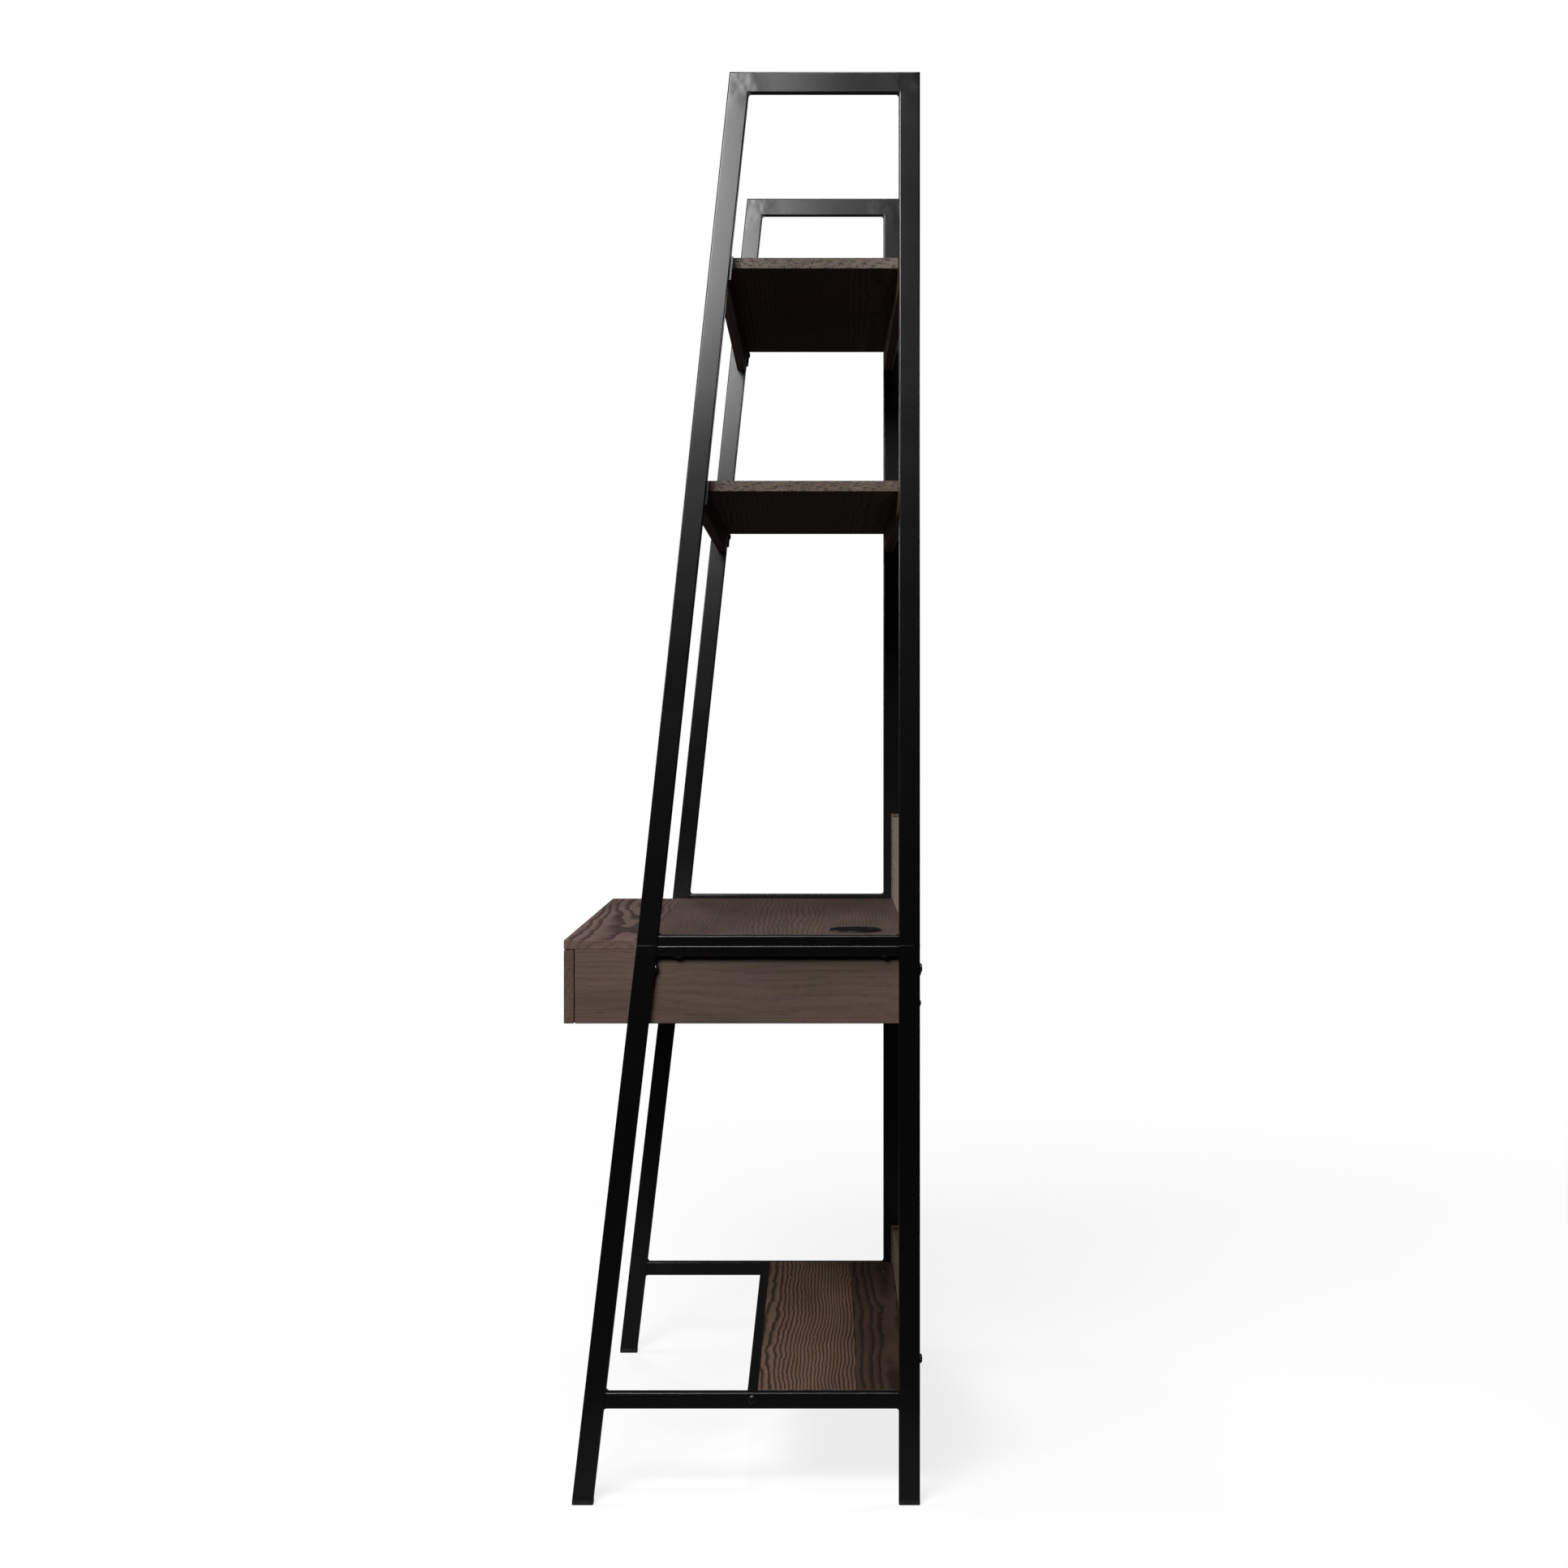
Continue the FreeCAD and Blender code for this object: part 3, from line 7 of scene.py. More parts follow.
import bpy
import numpy as np
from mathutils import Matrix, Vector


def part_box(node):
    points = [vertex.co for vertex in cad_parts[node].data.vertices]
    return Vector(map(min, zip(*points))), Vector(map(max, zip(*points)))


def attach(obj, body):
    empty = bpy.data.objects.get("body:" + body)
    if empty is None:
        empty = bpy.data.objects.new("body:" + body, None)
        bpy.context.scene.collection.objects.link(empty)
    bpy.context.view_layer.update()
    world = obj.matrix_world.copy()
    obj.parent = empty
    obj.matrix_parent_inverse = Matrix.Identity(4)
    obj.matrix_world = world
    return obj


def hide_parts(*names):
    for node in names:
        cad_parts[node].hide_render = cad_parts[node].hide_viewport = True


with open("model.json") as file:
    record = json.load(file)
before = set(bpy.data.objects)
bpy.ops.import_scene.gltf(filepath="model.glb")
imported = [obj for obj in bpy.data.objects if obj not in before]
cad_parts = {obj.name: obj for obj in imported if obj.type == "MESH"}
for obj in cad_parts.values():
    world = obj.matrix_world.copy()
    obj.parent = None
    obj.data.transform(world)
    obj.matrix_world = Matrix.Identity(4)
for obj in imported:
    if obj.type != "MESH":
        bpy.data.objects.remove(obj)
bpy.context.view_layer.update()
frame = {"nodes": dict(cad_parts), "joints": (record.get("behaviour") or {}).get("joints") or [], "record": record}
nodes = frame["nodes"]


# ---- Side frames: painted steel tube -------------------------------------------------
# Rectangular steel tube, 27 x 13 mm, welded into a lower and an upper frame on each side,
# ground smooth at the welds and powder coated satin black, with a fine pebbled skin.
COAT_BLACK = (0.0016, 0.0015, 0.0018, 1)
COAT_DUST = (0.09, 0.085, 0.08, 1)
COAT_ROUGHNESS, COAT_PATCHES = 0.22, 0.07           # and how much it changes from place to place
COAT_SHINE = 0.41
COAT_GRAIN = 0.45                                   # share of the pebbled skin in its bump
WELD_DENTS, TUBE_DENTS = 26.0, 0.3                  # wide dents at a ground weld and elsewhere
WELDS = ((-0.0055, 1.8155), (0.2135, 1.8155), (-0.1130, 0.7140), (0.2080, 0.7140),
         (-0.1930, 0.1335), (0.2080, 0.1335))       # Y, Z of the ground joints


def feed(tree, node, values):
    """Sets a node's inputs, by name or number: an output socket is linked to the input, and a
    plain number, colour or vector is written into it."""
    for name, value in values.items():
        if isinstance(value, bpy.types.NodeSocket):
            tree.links.new(value, node.inputs[name])
        else:
            node.inputs[name].default_value = value


def add(tree, kind, values=None, **settings):
    """Adds a shader node with its properties (settings) and its inputs (values)."""
    node = tree.nodes.new("ShaderNode" + kind)
    for name, setting in settings.items():
        setattr(node, name, setting)
    feed(tree, node, values or {})
    return node


def maths(tree, operation, *values):
    """Output of a Math node on one to three sockets or numbers."""
    return add(tree, "Math", dict(enumerate(values)), operation=operation).outputs[0]


def vector_maths(tree, operation, *values, output="Vector"):
    """Output of a Vector Math node on one or two sockets or vectors."""
    made = add(tree, "VectorMath", dict(enumerate(values)), operation=operation)
    return made.outputs[output]


def times(tree, vector, factor):
    """A vector times one number."""
    return add(tree, "VectorMath", {0: vector, "Scale": factor}, operation="SCALE").outputs[0]


def coordinates(tree, kind="Object"):
    """One of the Texture Coordinate node's outputs."""
    return add(tree, "TexCoord").outputs[kind]


def ramp(tree, value, start, end, low=0.0, high=1.0):
    """Smooth step of a value: low before start, high after end."""
    values = {"Value": value, "From Min": start, "From Max": end, "To Min": low, "To Max": high}
    return add(tree, "MapRange", values, interpolation_type="SMOOTHSTEP").outputs["Result"]


def noise(tree, vector, scale, detail=2.0, output="Fac"):
    """Noise over a vector that is first multiplied by one scale for each axis."""
    stretched = vector_maths(tree, "MULTIPLY", vector, scale)
    values = {"Vector": stretched, "Scale": 1.0, "Detail": detail}
    return add(tree, "TexNoise", values).outputs[output]


def mixed(tree, factor, first, second, kind="RGBA", blend="MIX"):
    """Mix of two colours (or numbers, with kind FLOAT) by a factor."""
    a, b, out = (6, 7, 2) if kind == "RGBA" else (2, 3, 0)      # the node's sockets of that kind
    return add(tree, "Mix", {0: factor, a: first, b: second},
               data_type=kind, blend_type=blend).outputs[out]


def new_group(name, inputs, outputs):
    """Empty node group from {socket name: default} and output names, with numbers for
    floats and tuples for vectors. Returns (group, its input node, its output node)."""
    group = bpy.data.node_groups.new(name, "ShaderNodeTree")
    for socket, default in inputs.items():
        kind = "NodeSocketVector" if isinstance(default, tuple) else "NodeSocketFloat"
        made = group.interface.new_socket(socket, in_out="INPUT", socket_type=kind)
        made.default_value = default
    for socket in outputs:
        group.interface.new_socket(socket, in_out="OUTPUT", socket_type="NodeSocketFloat")
    return group, group.nodes.new("NodeGroupInput"), group.nodes.new("NodeGroupOutput")


def use_group(tree, group, **values):
    """Places a node group in a material; underscores in the names stand for spaces."""
    node = add(tree, "Group", node_tree=group)
    feed(tree, node, {name.replace("_", " "): value for name, value in values.items()})
    return node.outputs


def new_material(name, roughness=0.5, **sockets):
    """Material with a Principled shader and constants for its sockets, whose names have
    underscores for spaces; returns (material, tree, shader, Object coordinates)."""
    material = bpy.data.materials.new(name)
    material.use_nodes = True
    tree = material.node_tree
    shader = tree.nodes["Principled BSDF"]
    shader.inputs["Roughness"].default_value = roughness
    feed(tree, shader, {socket.replace("_", " "): value for socket, value in sockets.items()})
    return material, tree, shader, coordinates(tree)


def bump(tree, shader, height, depth):
    """Bump on the shader's normal: a height from 0 to 1, and its depth in metres at 1."""
    made = add(tree, "Bump", {"Height": height, "Distance": depth, "Strength": 1.0})
    feed(tree, shader, {"Normal": made.outputs["Normal"]})


def set_material(names, material):
    """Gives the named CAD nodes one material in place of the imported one."""
    for name in names:
        slots = nodes[name].data.materials
        slots.clear()
        slots.append(material)


# pebbled skin of sprayed or moulded surfaces: two sizes of round noise, the finer one weaker
pebbled_skin, given, result = new_group(
    "pebbled_skin", {"Vector": (0, 0, 0), "Grains per metre": 900.0}, ("Height", "Patches"))
grains = times(pebbled_skin, given.outputs["Vector"], given.outputs["Grains per metre"])
coarse = noise(pebbled_skin, grains, (1, 1, 1), 1.0)
fine = noise(pebbled_skin, grains, (3.1, 3.1, 3.1), 1.0)
feed(pebbled_skin, result, {
    "Height": maths(pebbled_skin, "MULTIPLY_ADD", fine, 0.35, coarse),
    "Patches": noise(pebbled_skin, given.outputs["Vector"], (9, 9, 14), 3.0)})

# ground weld: 1 at a joint's middle in side view, falling to 0 at the edge of the ground patch
ground_weld, given, result = new_group(
    "ground_weld", {"Vector": (0, 0, 0), "Joint": (0, 0, 0), "Reach": 0.045}, ("Mask",))
flat = vector_maths(ground_weld, "MULTIPLY", given.outputs["Vector"], (0, 1, 1))
apart = vector_maths(ground_weld, "DISTANCE", flat, given.outputs["Joint"], output="Value")
share = maths(ground_weld, "DIVIDE", apart, given.outputs["Reach"])
feed(ground_weld, result, {"Mask": ramp(ground_weld, share, 1.0, 0.25)})

# specks of dust: a round spot in the cells of a fine Voronoi pattern, in a share (Amount) of
# the cells
dust_specks, given, result = new_group(
    "dust_specks", {"Vector": (0, 0, 0), "Specks per metre": 260.0, "Amount": 0.5}, ("Mask",))
specks = times(dust_specks, given.outputs["Vector"], given.outputs["Specks per metre"])
cells = add(dust_specks, "TexVoronoi", {"Vector": specks, "Scale": 1.0})
spot = ramp(dust_specks, cells.outputs["Distance"], 0.16, 0.08)
chosen = add(dust_specks, "SeparateColor", {0: cells.outputs["Color"]}).outputs[0]
kept = maths(dust_specks, "GREATER_THAN", given.outputs["Amount"], chosen)
feed(dust_specks, result, {"Mask": maths(dust_specks, "MULTIPLY", spot, kept)})

powder_coat, tree, shader, place = new_material(
    "satin_black_powder_coat", roughness=COAT_ROUGHNESS, Specular_IOR_Level=COAT_SHINE)
skin = use_group(tree, pebbled_skin, Vector=place, Grains_per_metre=1100.0)
welds = 0.0
for weld_y, weld_z in WELDS:
    mask = use_group(tree, ground_weld, Vector=place, Joint=(0, weld_y, weld_z))["Mask"]
    welds = maths(tree, "MAXIMUM", mask, welds)
dust = use_group(tree, dust_specks, Vector=place, Specks_per_metre=150.0, Amount=0.012)["Mask"]
feed(tree, shader, {
    "Base Color": mixed(tree, maths(tree, "MULTIPLY", dust, 0.5), COAT_BLACK, COAT_DUST),
    "Roughness": maths(tree, "MULTIPLY_ADD", skin["Patches"], COAT_PATCHES,
                       COAT_ROUGHNESS - COAT_PATCHES / 2)})
dents = noise(tree, place, (34, 34, 34), 2.0)
unevenness = maths(tree, "MULTIPLY_ADD", welds, WELD_DENTS, TUBE_DENTS)
waves = maths(tree, "MULTIPLY", dents, unevenness)
height = maths(tree, "MULTIPLY_ADD", skin["Height"], COAT_GRAIN, waves)
bump(tree, shader, height, depth=0.00002)

tubes = [n for n in nodes if n.startswith(("right_", "left_")) and n.endswith(("_leg", "_rail"))]
set_material(tubes + ["front_stretcher", "shelf_tabs", "bottom_shelf_tabs"], powder_coat)

# ---- Leg seams -----------------------------------------------------------------------
# Where the upper frame stands on the lower one the tube ends are broken with a fine
# radius, which catches light as a thin line round each leg.
SEAM_RADIUS = 0.00035
SEAM_SINK = 0.00015                                 # of the bead's edges, under a leg's faces
LEG_CORNER = 0.002                                  # radius of the tube's long edges
LEG_STATIONS, BEAD_STATIONS = 48, 7                 # once round a leg, and over the bead
EDGE_ANGLE = math.radians(40)                       # sharper edges aren't smoothed
TINY = 1e-6                                         # a smaller part of a normal counts as none


def leg_at_seam(side, leg):
    """Middle (X, Y, Z) and half size (X, Y) of a leg's section at the seam, to a tenth of a
    millimetre: its corners are the upper tube's lowest one and the lower tube's highest one."""
    low = np.array(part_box(f"{side}_upper_{leg}_leg")[0])
    high = np.array(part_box(f"{side}_lower_{leg}_leg")[1])
    return np.round((low + high) / 2, 4), np.round((high - low) / 2, 4)[:2]


def seam_bead(middle, half):
    """Half-round bead carried round a leg's rounded rectangle: each station of the path is
    pushed out along its own normal by the bead's radius times a cosine, and up by its sine."""
    turn = np.linspace(0, 2 * np.pi, LEG_STATIONS, endpoint=False)
    normal = np.stack([np.cos(turn), np.sin(turn)], 1)
    corner_middle = np.sign(normal) * (half - LEG_CORNER) * (np.abs(normal) > TINY)
    path = corner_middle + LEG_CORNER * normal + middle[:2]
    swing = np.linspace(-np.pi / 2, np.pi / 2, BEAD_STATIONS)
    out = (SEAM_SINK + SEAM_RADIUS * np.cos(swing))[None, :, None] * normal[:, None, :]
    out[:, [0, -1]] *= -1                           # the bead's two edges go under the face
    flat = path[:, None, :] + out
    height = np.broadcast_to(middle[2] + SEAM_RADIUS * np.sin(swing), flat.shape[:2])
    return np.concatenate([flat, height[..., None]], 2)


def surface(name, grids, material, ringed=False, flip=False, lids=False):
    """One mesh from grids of points, smooth but for its sharp edges. Rows wrap round, and so do
    columns where ringed is true; each cell of a grid is one face. Flip turns the faces over,
    and lids close the first and the last column of each grid with one face."""
    points, faces, caps, start = [], [], [], 0
    for grid in grids:
        rows, columns = grid.shape[:2]
        row = np.arange(rows)[:, None]
        column = np.arange(columns if ringed else columns - 1)[None, :]
        first, second = row * columns, (row + 1) % rows * columns
        onward = (column + 1) % columns
        quads = np.stack([first + column, second + column, second + onward, first + onward], -1)
        faces.append(quads.reshape(-1, 4) + start)
        if lids:
            ring = start + np.arange(rows) * columns
            caps += [ring[::-1].tolist(), (ring + columns - 1).tolist()]
        points.append(grid.reshape(-1, 3))
        start += rows * columns
    faces = np.concatenate(faces)
    if flip:
        faces, caps = faces[:, ::-1], [lid[::-1] for lid in caps]
    mesh = bpy.data.meshes.new(name)
    mesh.from_pydata(np.concatenate(points).tolist(), [], faces.tolist() + caps)
    mesh.polygons.foreach_set("use_smooth", np.ones(len(mesh.polygons), bool))
    mesh.set_sharp_from_angle(angle=EDGE_ANGLE)
    mesh.materials.append(material)
    mesh.update()
    piece = bpy.data.objects.new(name, mesh)
    bpy.context.scene.collection.objects.link(piece)
    return piece


beads = [seam_bead(*leg_at_seam(side, leg))
         for side in ("right", "left") for leg in ("rear", "front")]
seams = surface("leg_seam_edges", beads, powder_coat, ringed=True)
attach(seams, "frame")

# ---- Feet, plugs and sleeves ---------------------------------------------------------
# Moulded black plastic caps close the legs at the floor; the drawn steel sleeves that join
# the frames and the plugs that take the stretcher's bolts stay out of sight in the tubes.
FOOT_BLACK, FOOT_SCUFFED = (0.006, 0.006, 0.0065, 1), (0.018, 0.017, 0.016, 1)
FOOT_ROUGHNESS = 0.42
STEEL_BRIGHT, STEEL_OILED = (0.34, 0.33, 0.32, 1), (0.16, 0.14, 0.12, 1)

foot_plastic, tree, shader, place = new_material("black_foot_plastic", roughness=FOOT_ROUGHNESS)
skin = use_group(tree, pebbled_skin, Vector=place, Grains_per_metre=2600.0)
scuff = ramp(tree, noise(tree, place, (80, 80, 700)), 0.55, 0.75)
feed(tree, shader, {"Base Color": mixed(tree, scuff, FOOT_BLACK, FOOT_SCUFFED),
                    "Roughness": maths(tree, "MULTIPLY_ADD", scuff, 0.2, FOOT_ROUGHNESS)})
bump(tree, shader, skin["Height"], depth=0.00004)
set_material(["foot_caps"], foot_plastic)

drawn_steel, tree, shader, place = new_material("drawn_steel", roughness=0.35, Metallic=1.0)
lines = noise(tree, place, (900, 900, 12))
oiled = ramp(tree, noise(tree, place, (30, 30, 30), 3.0), 0.45, 0.7)
feed(tree, shader, {"Base Color": mixed(tree, oiled, STEEL_BRIGHT, STEEL_OILED),
                    "Roughness": maths(tree, "MULTIPLY_ADD", lines, 0.25, 0.25)})
bump(tree, shader, lines, depth=0.00003)
set_material(["leg_joint_sleeves", "stretcher_end_plugs"], drawn_steel)

# ---- Bolts and screws ----------------------------------------------------------------
# Button-head bolts with a hexagon socket hold the frames together, and pan heads with a
# cross hold the tabs and back boards. All are blackened steel, worn brighter in places.
BOLT_BLACK, BOLT_WORN = (0.016, 0.016, 0.018, 1), (0.13, 0.125, 0.12, 1)

blackened, tree, shader, place = new_material("blackened_steel", roughness=0.3, Metallic=0.7)
skin = use_group(tree, pebbled_skin, Vector=place, Grains_per_metre=2200.0)
worn = ramp(tree, noise(tree, place, (420, 420, 420), 3.0), 0.56, 0.74)
feed(tree, shader, {"Base Color": mixed(tree, worn, BOLT_BLACK, BOLT_WORN),
                    "Roughness": maths(tree, "MULTIPLY_ADD", worn, 0.16, 0.22)})
bump(tree, shader, skin["Height"], depth=0.00002)
record_slot = {part["node"]: part["material_slot"] for part in frame["record"]["subparts"]}
set_material([n for n in nodes if record_slot[n] == "black_screws"], blackened)

# ---- Bottom shelf and back boards ----------------------------------------------------
# Boards of ring-porous oak, edge glued from strips and stained grey-brown, so that the
# open pores of each year's early wood took up more stain and show as dark grain lines.
# The bottom shelf lies on tabs between the foot rails; short blocks close the back boards.
STAIN_LIGHT = (0.104, 0.067, 0.052, 1)
STAIN_DARK = (0.046, 0.028, 0.021, 1)
STAIN_END = (0.125, 0.100, 0.088, 1)
PORE_DARK = (0.014, 0.009, 0.007, 1)
OLIVE_TINT = (0.92, 0.98, 0.84, 1)
SHEEN_TINT = (1, 0.78, 0.68, 1)
DUST = (0.50, 0.48, 0.45, 1)
END_SHARE = 0.8                                     # of the end colour on a cut end
JOINT_DARK, LINE_DARK = 0.35, 0.4                   # glued strips' joints, glue lines on an end
UPRIGHT = ((0.0, 0.05, 0.006, 0.6, 1.0),)           # one strip, for boards that stand on edge


def axes(tree, vector):
    """The parts of a vector, as sockets X, Y and Z."""
    return add(tree, "SeparateXYZ", {0: vector}).outputs


# oak figure: years are the distance from a heart line, which lies Middle to the side and Heart
# under the face, divided by Ring; a year's fraction makes a dark band that starts sharply and
# fades. Two noises bend the rings, a long one (Wander) and a short one (Ripple), a third makes
# their widths Uneven, and Seed picks another log.
oak_figure, given, result = new_group(
    "oak_figure",
    {"Vector": (0, 0, 0), "Middle": 0.0, "Ring": 0.005, "Wander": 0.02, "Heart": 0.04,
     "Seed": 0.0, "Ripple": 0.004, "Uneven": 3.0},
    ("Band", "Pores", "Fibre", "Cloud", "Hue", "End dashes", "Height"))
tree = oak_figure
board = axes(tree, given.outputs["Vector"])
log = add(tree, "CombineXYZ", {
    0: maths(tree, "ADD", board["X"], given.outputs["Seed"]),
    1: given.outputs["Middle"],
    2: maths(tree, "ADD", board["Z"], given.outputs["Heart"])}).outputs[0]


def shaken(tree, log, vector, scale, amount):
    """A vector moved by a noise of the log, centred on zero, times one amount."""
    shake = noise(tree, log, scale, 2.0, "Color")
    shake = vector_maths(tree, "SUBTRACT", shake, (0.5, 0.5, 0.5))
    return vector_maths(tree, "ADD", vector, times(tree, shake, amount))


bent = shaken(tree, log, log, (1.9, 5, 5), given.outputs["Wander"])
bent = shaken(tree, log, bent, (24, 30, 30), given.outputs["Ripple"])
section = vector_maths(tree, "MULTIPLY", bent, (0, 1, 1))
from_heart = vector_maths(tree, "LENGTH", section, output="Value")
slow = maths(tree, "MULTIPLY", noise(tree, bent, (0.4, 23, 23), 1.0), given.outputs["Uneven"])
years = maths(tree, "ADD", maths(tree, "DIVIDE", from_heart, given.outputs["Ring"]), slow)
year = maths(tree, "FRACT", years)
band = maths(tree, "MULTIPLY", ramp(tree, year, 0.0, 0.12), ramp(tree, year, 0.68, 0.22))
dashes = ramp(tree, noise(tree, log, (95, 1700, 900), 1.0), 0.54, 0.68)
pores = maths(tree, "MULTIPLY", dashes, maths(tree, "MULTIPLY_ADD", band, 0.75, 0.25))
fibre = noise(tree, log, (7, 520, 520))
low = maths(tree, "MULTIPLY_ADD", fibre, 0.35, maths(tree, "MULTIPLY", pores, -1.0))
feed(tree, result, {
    "Band": band, "Pores": pores, "Fibre": fibre,
    "Cloud": noise(tree, log, (3.2, 14, 14), 3.0),
    "Hue": noise(tree, log, (9, 45, 45), 3.0),
    "End dashes": ramp(tree, noise(tree, log, (300, 105, 800), 1.0), 0.53, 0.60),
    "Height": maths(tree, "MULTIPLY_ADD", band, -0.3, low)})


def oak(name, strips, along="X", level=0.0, light=STAIN_LIGHT, dark=STAIN_DARK, end=STAIN_END,
        pores=0.6, shine=0.14, sheen=0.0, dashes=0.85, lines=(), **rings):
    """Stained oak with its grain along X or Y. Strips are the glued strips across the grain:
    (where it starts, its heart's place, ring width, strength of the dark bands, tone). Level is
    the board's height; pores is the strength of the dark pores; dashes is that of the dark
    dashes on a cut end, and lines are the Y places of glue lines across it. Rings are the other
    inputs of the oak figure."""
    material, tree, shader, place = new_material(
        name, roughness=0.6, Specular_IOR_Level=shine, Sheen_Weight=sheen, Sheen_Tint=SHEEN_TINT)
    turned = -math.pi / 2 if along == "Y" else 0.0
    board = add(tree, "Mapping", {"Vector": place, "Rotation": (0, 0, turned),
                                  "Location": (0, 0, -level)}).outputs[0]
    across = axes(tree, board)["Y"]
    (_, heart, ring, grain, tone), joint = strips[0], 0.0
    for start, *strip in strips[1:]:
        past = maths(tree, "GREATER_THAN", across, start)
        heart, ring, grain, tone = (mixed(tree, past, a, b, "FLOAT")
                                    for a, b in zip((heart, ring, grain, tone), strip))
        gap = maths(tree, "ABSOLUTE", maths(tree, "SUBTRACT", across, start))
        joint = maths(tree, "MAXIMUM", ramp(tree, gap, 0.0006, 0.0001), joint)
    figure = use_group(tree, oak_figure, Vector=board, Ring=ring,
                       Middle=maths(tree, "SUBTRACT", across, heart), **rings)
    facing = axes(tree, coordinates(tree, "Normal"))
    cut_end = ramp(tree, maths(tree, "ABSOLUTE", facing[along]), 0.6, 0.9)

    # stain: dark bands, the end colour on a cut end, and a slow change of hue and tone
    body = mixed(tree, maths(tree, "MULTIPLY", figure["Band"], grain), light, dark)
    body = mixed(tree, maths(tree, "MULTIPLY", cut_end, END_SHARE), body, end)
    olive = mixed(tree, 1.0, body, OLIVE_TINT, blend="MULTIPLY")
    body = mixed(tree, ramp(tree, figure["Hue"], 0.44, 0.64), body, olive)
    haze = maths(tree, "MULTIPLY", figure["Fibre"], 0.5)
    haze = maths(tree, "MULTIPLY_ADD", figure["Cloud"], 0.9, haze)
    haze = maths(tree, "MULTIPLY", maths(tree, "ADD", haze, 0.3), tone)
    grey = add(tree, "CombineColor", {0: haze, 1: haze, 2: haze}).outputs[0]
    body = mixed(tree, 1.0, body, grey, blend="MULTIPLY")

    # what lies darker in it: pores, joints, dashes and glue lines
    filled = maths(tree, "MULTIPLY", figure["Pores"], pores)
    filled = maths(tree, "MAXIMUM", filled, maths(tree, "MULTIPLY", joint, JOINT_DARK))
    streaks = maths(tree, "MULTIPLY", figure["End dashes"],
                    maths(tree, "MULTIPLY", cut_end, dashes))
    filled = maths(tree, "MAXIMUM", filled, streaks)
    for line in lines:
        away = maths(tree, "ABSOLUTE", maths(tree, "SUBTRACT", axes(tree, place)["Y"], line))
        stripe = maths(tree, "MULTIPLY", ramp(tree, away, 0.0007, 0.0002), cut_end)
        filled = maths(tree, "MAXIMUM", filled, maths(tree, "MULTIPLY", stripe, LINE_DARK))
    body = mixed(tree, filled, body, PORE_DARK)

    dust = use_group(tree, dust_specks, Vector=place, Specks_per_metre=120.0, Amount=0.012)
    dusty = maths(tree, "MULTIPLY", dust["Mask"], ramp(tree, facing["Z"], 0.6, 0.9))
    feed(tree, shader, {"Base Color": mixed(tree, dusty, body, DUST),
                        "Roughness": maths(tree, "MULTIPLY_ADD", figure["Pores"], 0.2, 0.55)})
    bump(tree, shader, figure["Height"], depth=0.00012)
    return material


# The strip behind Y 0.1465 is a darker board, and its tone of 0.38 also holds painted shade: the rear of the shelf
# lies in shadow under the desk box.
set_material(["bottom_shelf_panel"], oak(
    "oak_bottom_shelf", ((0.0, 0.004, 0.0046, 0.9, 0.95), (0.1465, 0.202, 0.0072, 0.7, 0.38)),
    level=0.1375, Heart=0.028, Wander=0.034, Seed=5.2, Ripple=0.006, Uneven=2.5,
    light=(0.112, 0.067, 0.048, 1), dark=(0.018, 0.010, 0.007, 1)))
set_material(["bottom_back_board"], oak(
    "oak_bottom_back", UPRIGHT, level=0.16, Seed=9.0, shine=0.5, light=(0.108, 0.074, 0.059, 1)))
# The desk back board's light stain colour is set lighter than the other boards' as a painted reflection, standing
# in for the bright sheen its front face shows at a grazing angle.
set_material(["desk_back_board"], oak(
    "oak_desk_back", UPRIGHT, level=0.73, Seed=10.0, shine=0.5, sheen=0.08,
    light=(0.132, 0.102, 0.090, 1), dark=(0.066, 0.048, 0.041, 1)))
set_material(["back_board_end_blocks"], oak(
    "oak_end_blocks", UPRIGHT, level=0.5, Seed=11.0, end=(0.16, 0.13, 0.115, 1)))

# ---- Desk box ------------------------------------------------------------------------
# A glued oak top lies on two side boards and a front rail, with dowels and glue; bolts hold
# the sides to the legs. The box is open at the front for the drawer.
# The front strip's bold figure is the wood's own. Its tone of 1.3 is painted light: the desktop's front edge lies
# outside the shelves' shadow and is lit more brightly than the rest.
set_material(["desktop_panel"], oak(
    "oak_desktop", ((-0.2295, -0.176, 0.0095, 1.0, 1.3), (-0.122, -0.30, 0.0048, 0.5, 1.0),
                    (-0.010, 0.20, 0.0060, 0.5, 0.96), (0.105, -0.08, 0.0045, 0.45, 0.92)),
    level=0.714, Heart=0.030, Wander=0.05, Seed=2.0, Ripple=0.006, dashes=0.2,
    end=(0.084, 0.053, 0.043, 1), light=(0.116, 0.077, 0.069, 1), dark=(0.048, 0.030, 0.026, 1)))
set_material(["right_desk_side", "left_desk_side"], oak(
    "oak_desk_sides", ((0.0, 0.0, 0.0026, 0.14, 0.93),), along="Y", level=0.66, Heart=0.09,
    Wander=0.03, Seed=3.0, pores=0.3, light=(0.096, 0.062, 0.051, 1),
    dark=(0.046, 0.029, 0.023, 1)))
set_material(["desk_front_rail"], oak("oak_front_rail", UPRIGHT, level=0.70, Seed=8.0))

# ---- Cable grommet -------------------------------------------------------------------
# Moulded black sleeve with a broad flange in the desktop's bore, and a cap that turns in
# it. The cap has a round-ended slot for the cable and plain raised ribs to turn it by.
PLASTIC_BLACK = (0.0035, 0.0035, 0.0042, 1)
cap_turn = next(joint for joint in frame["joints"] if joint["name"] == "grommet_cap_turn")
GROMMET_AXIS = np.array(cap_turn["pos_m"][:2])
DESK_TOP = round(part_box("desktop_panel")[1].z, 4)
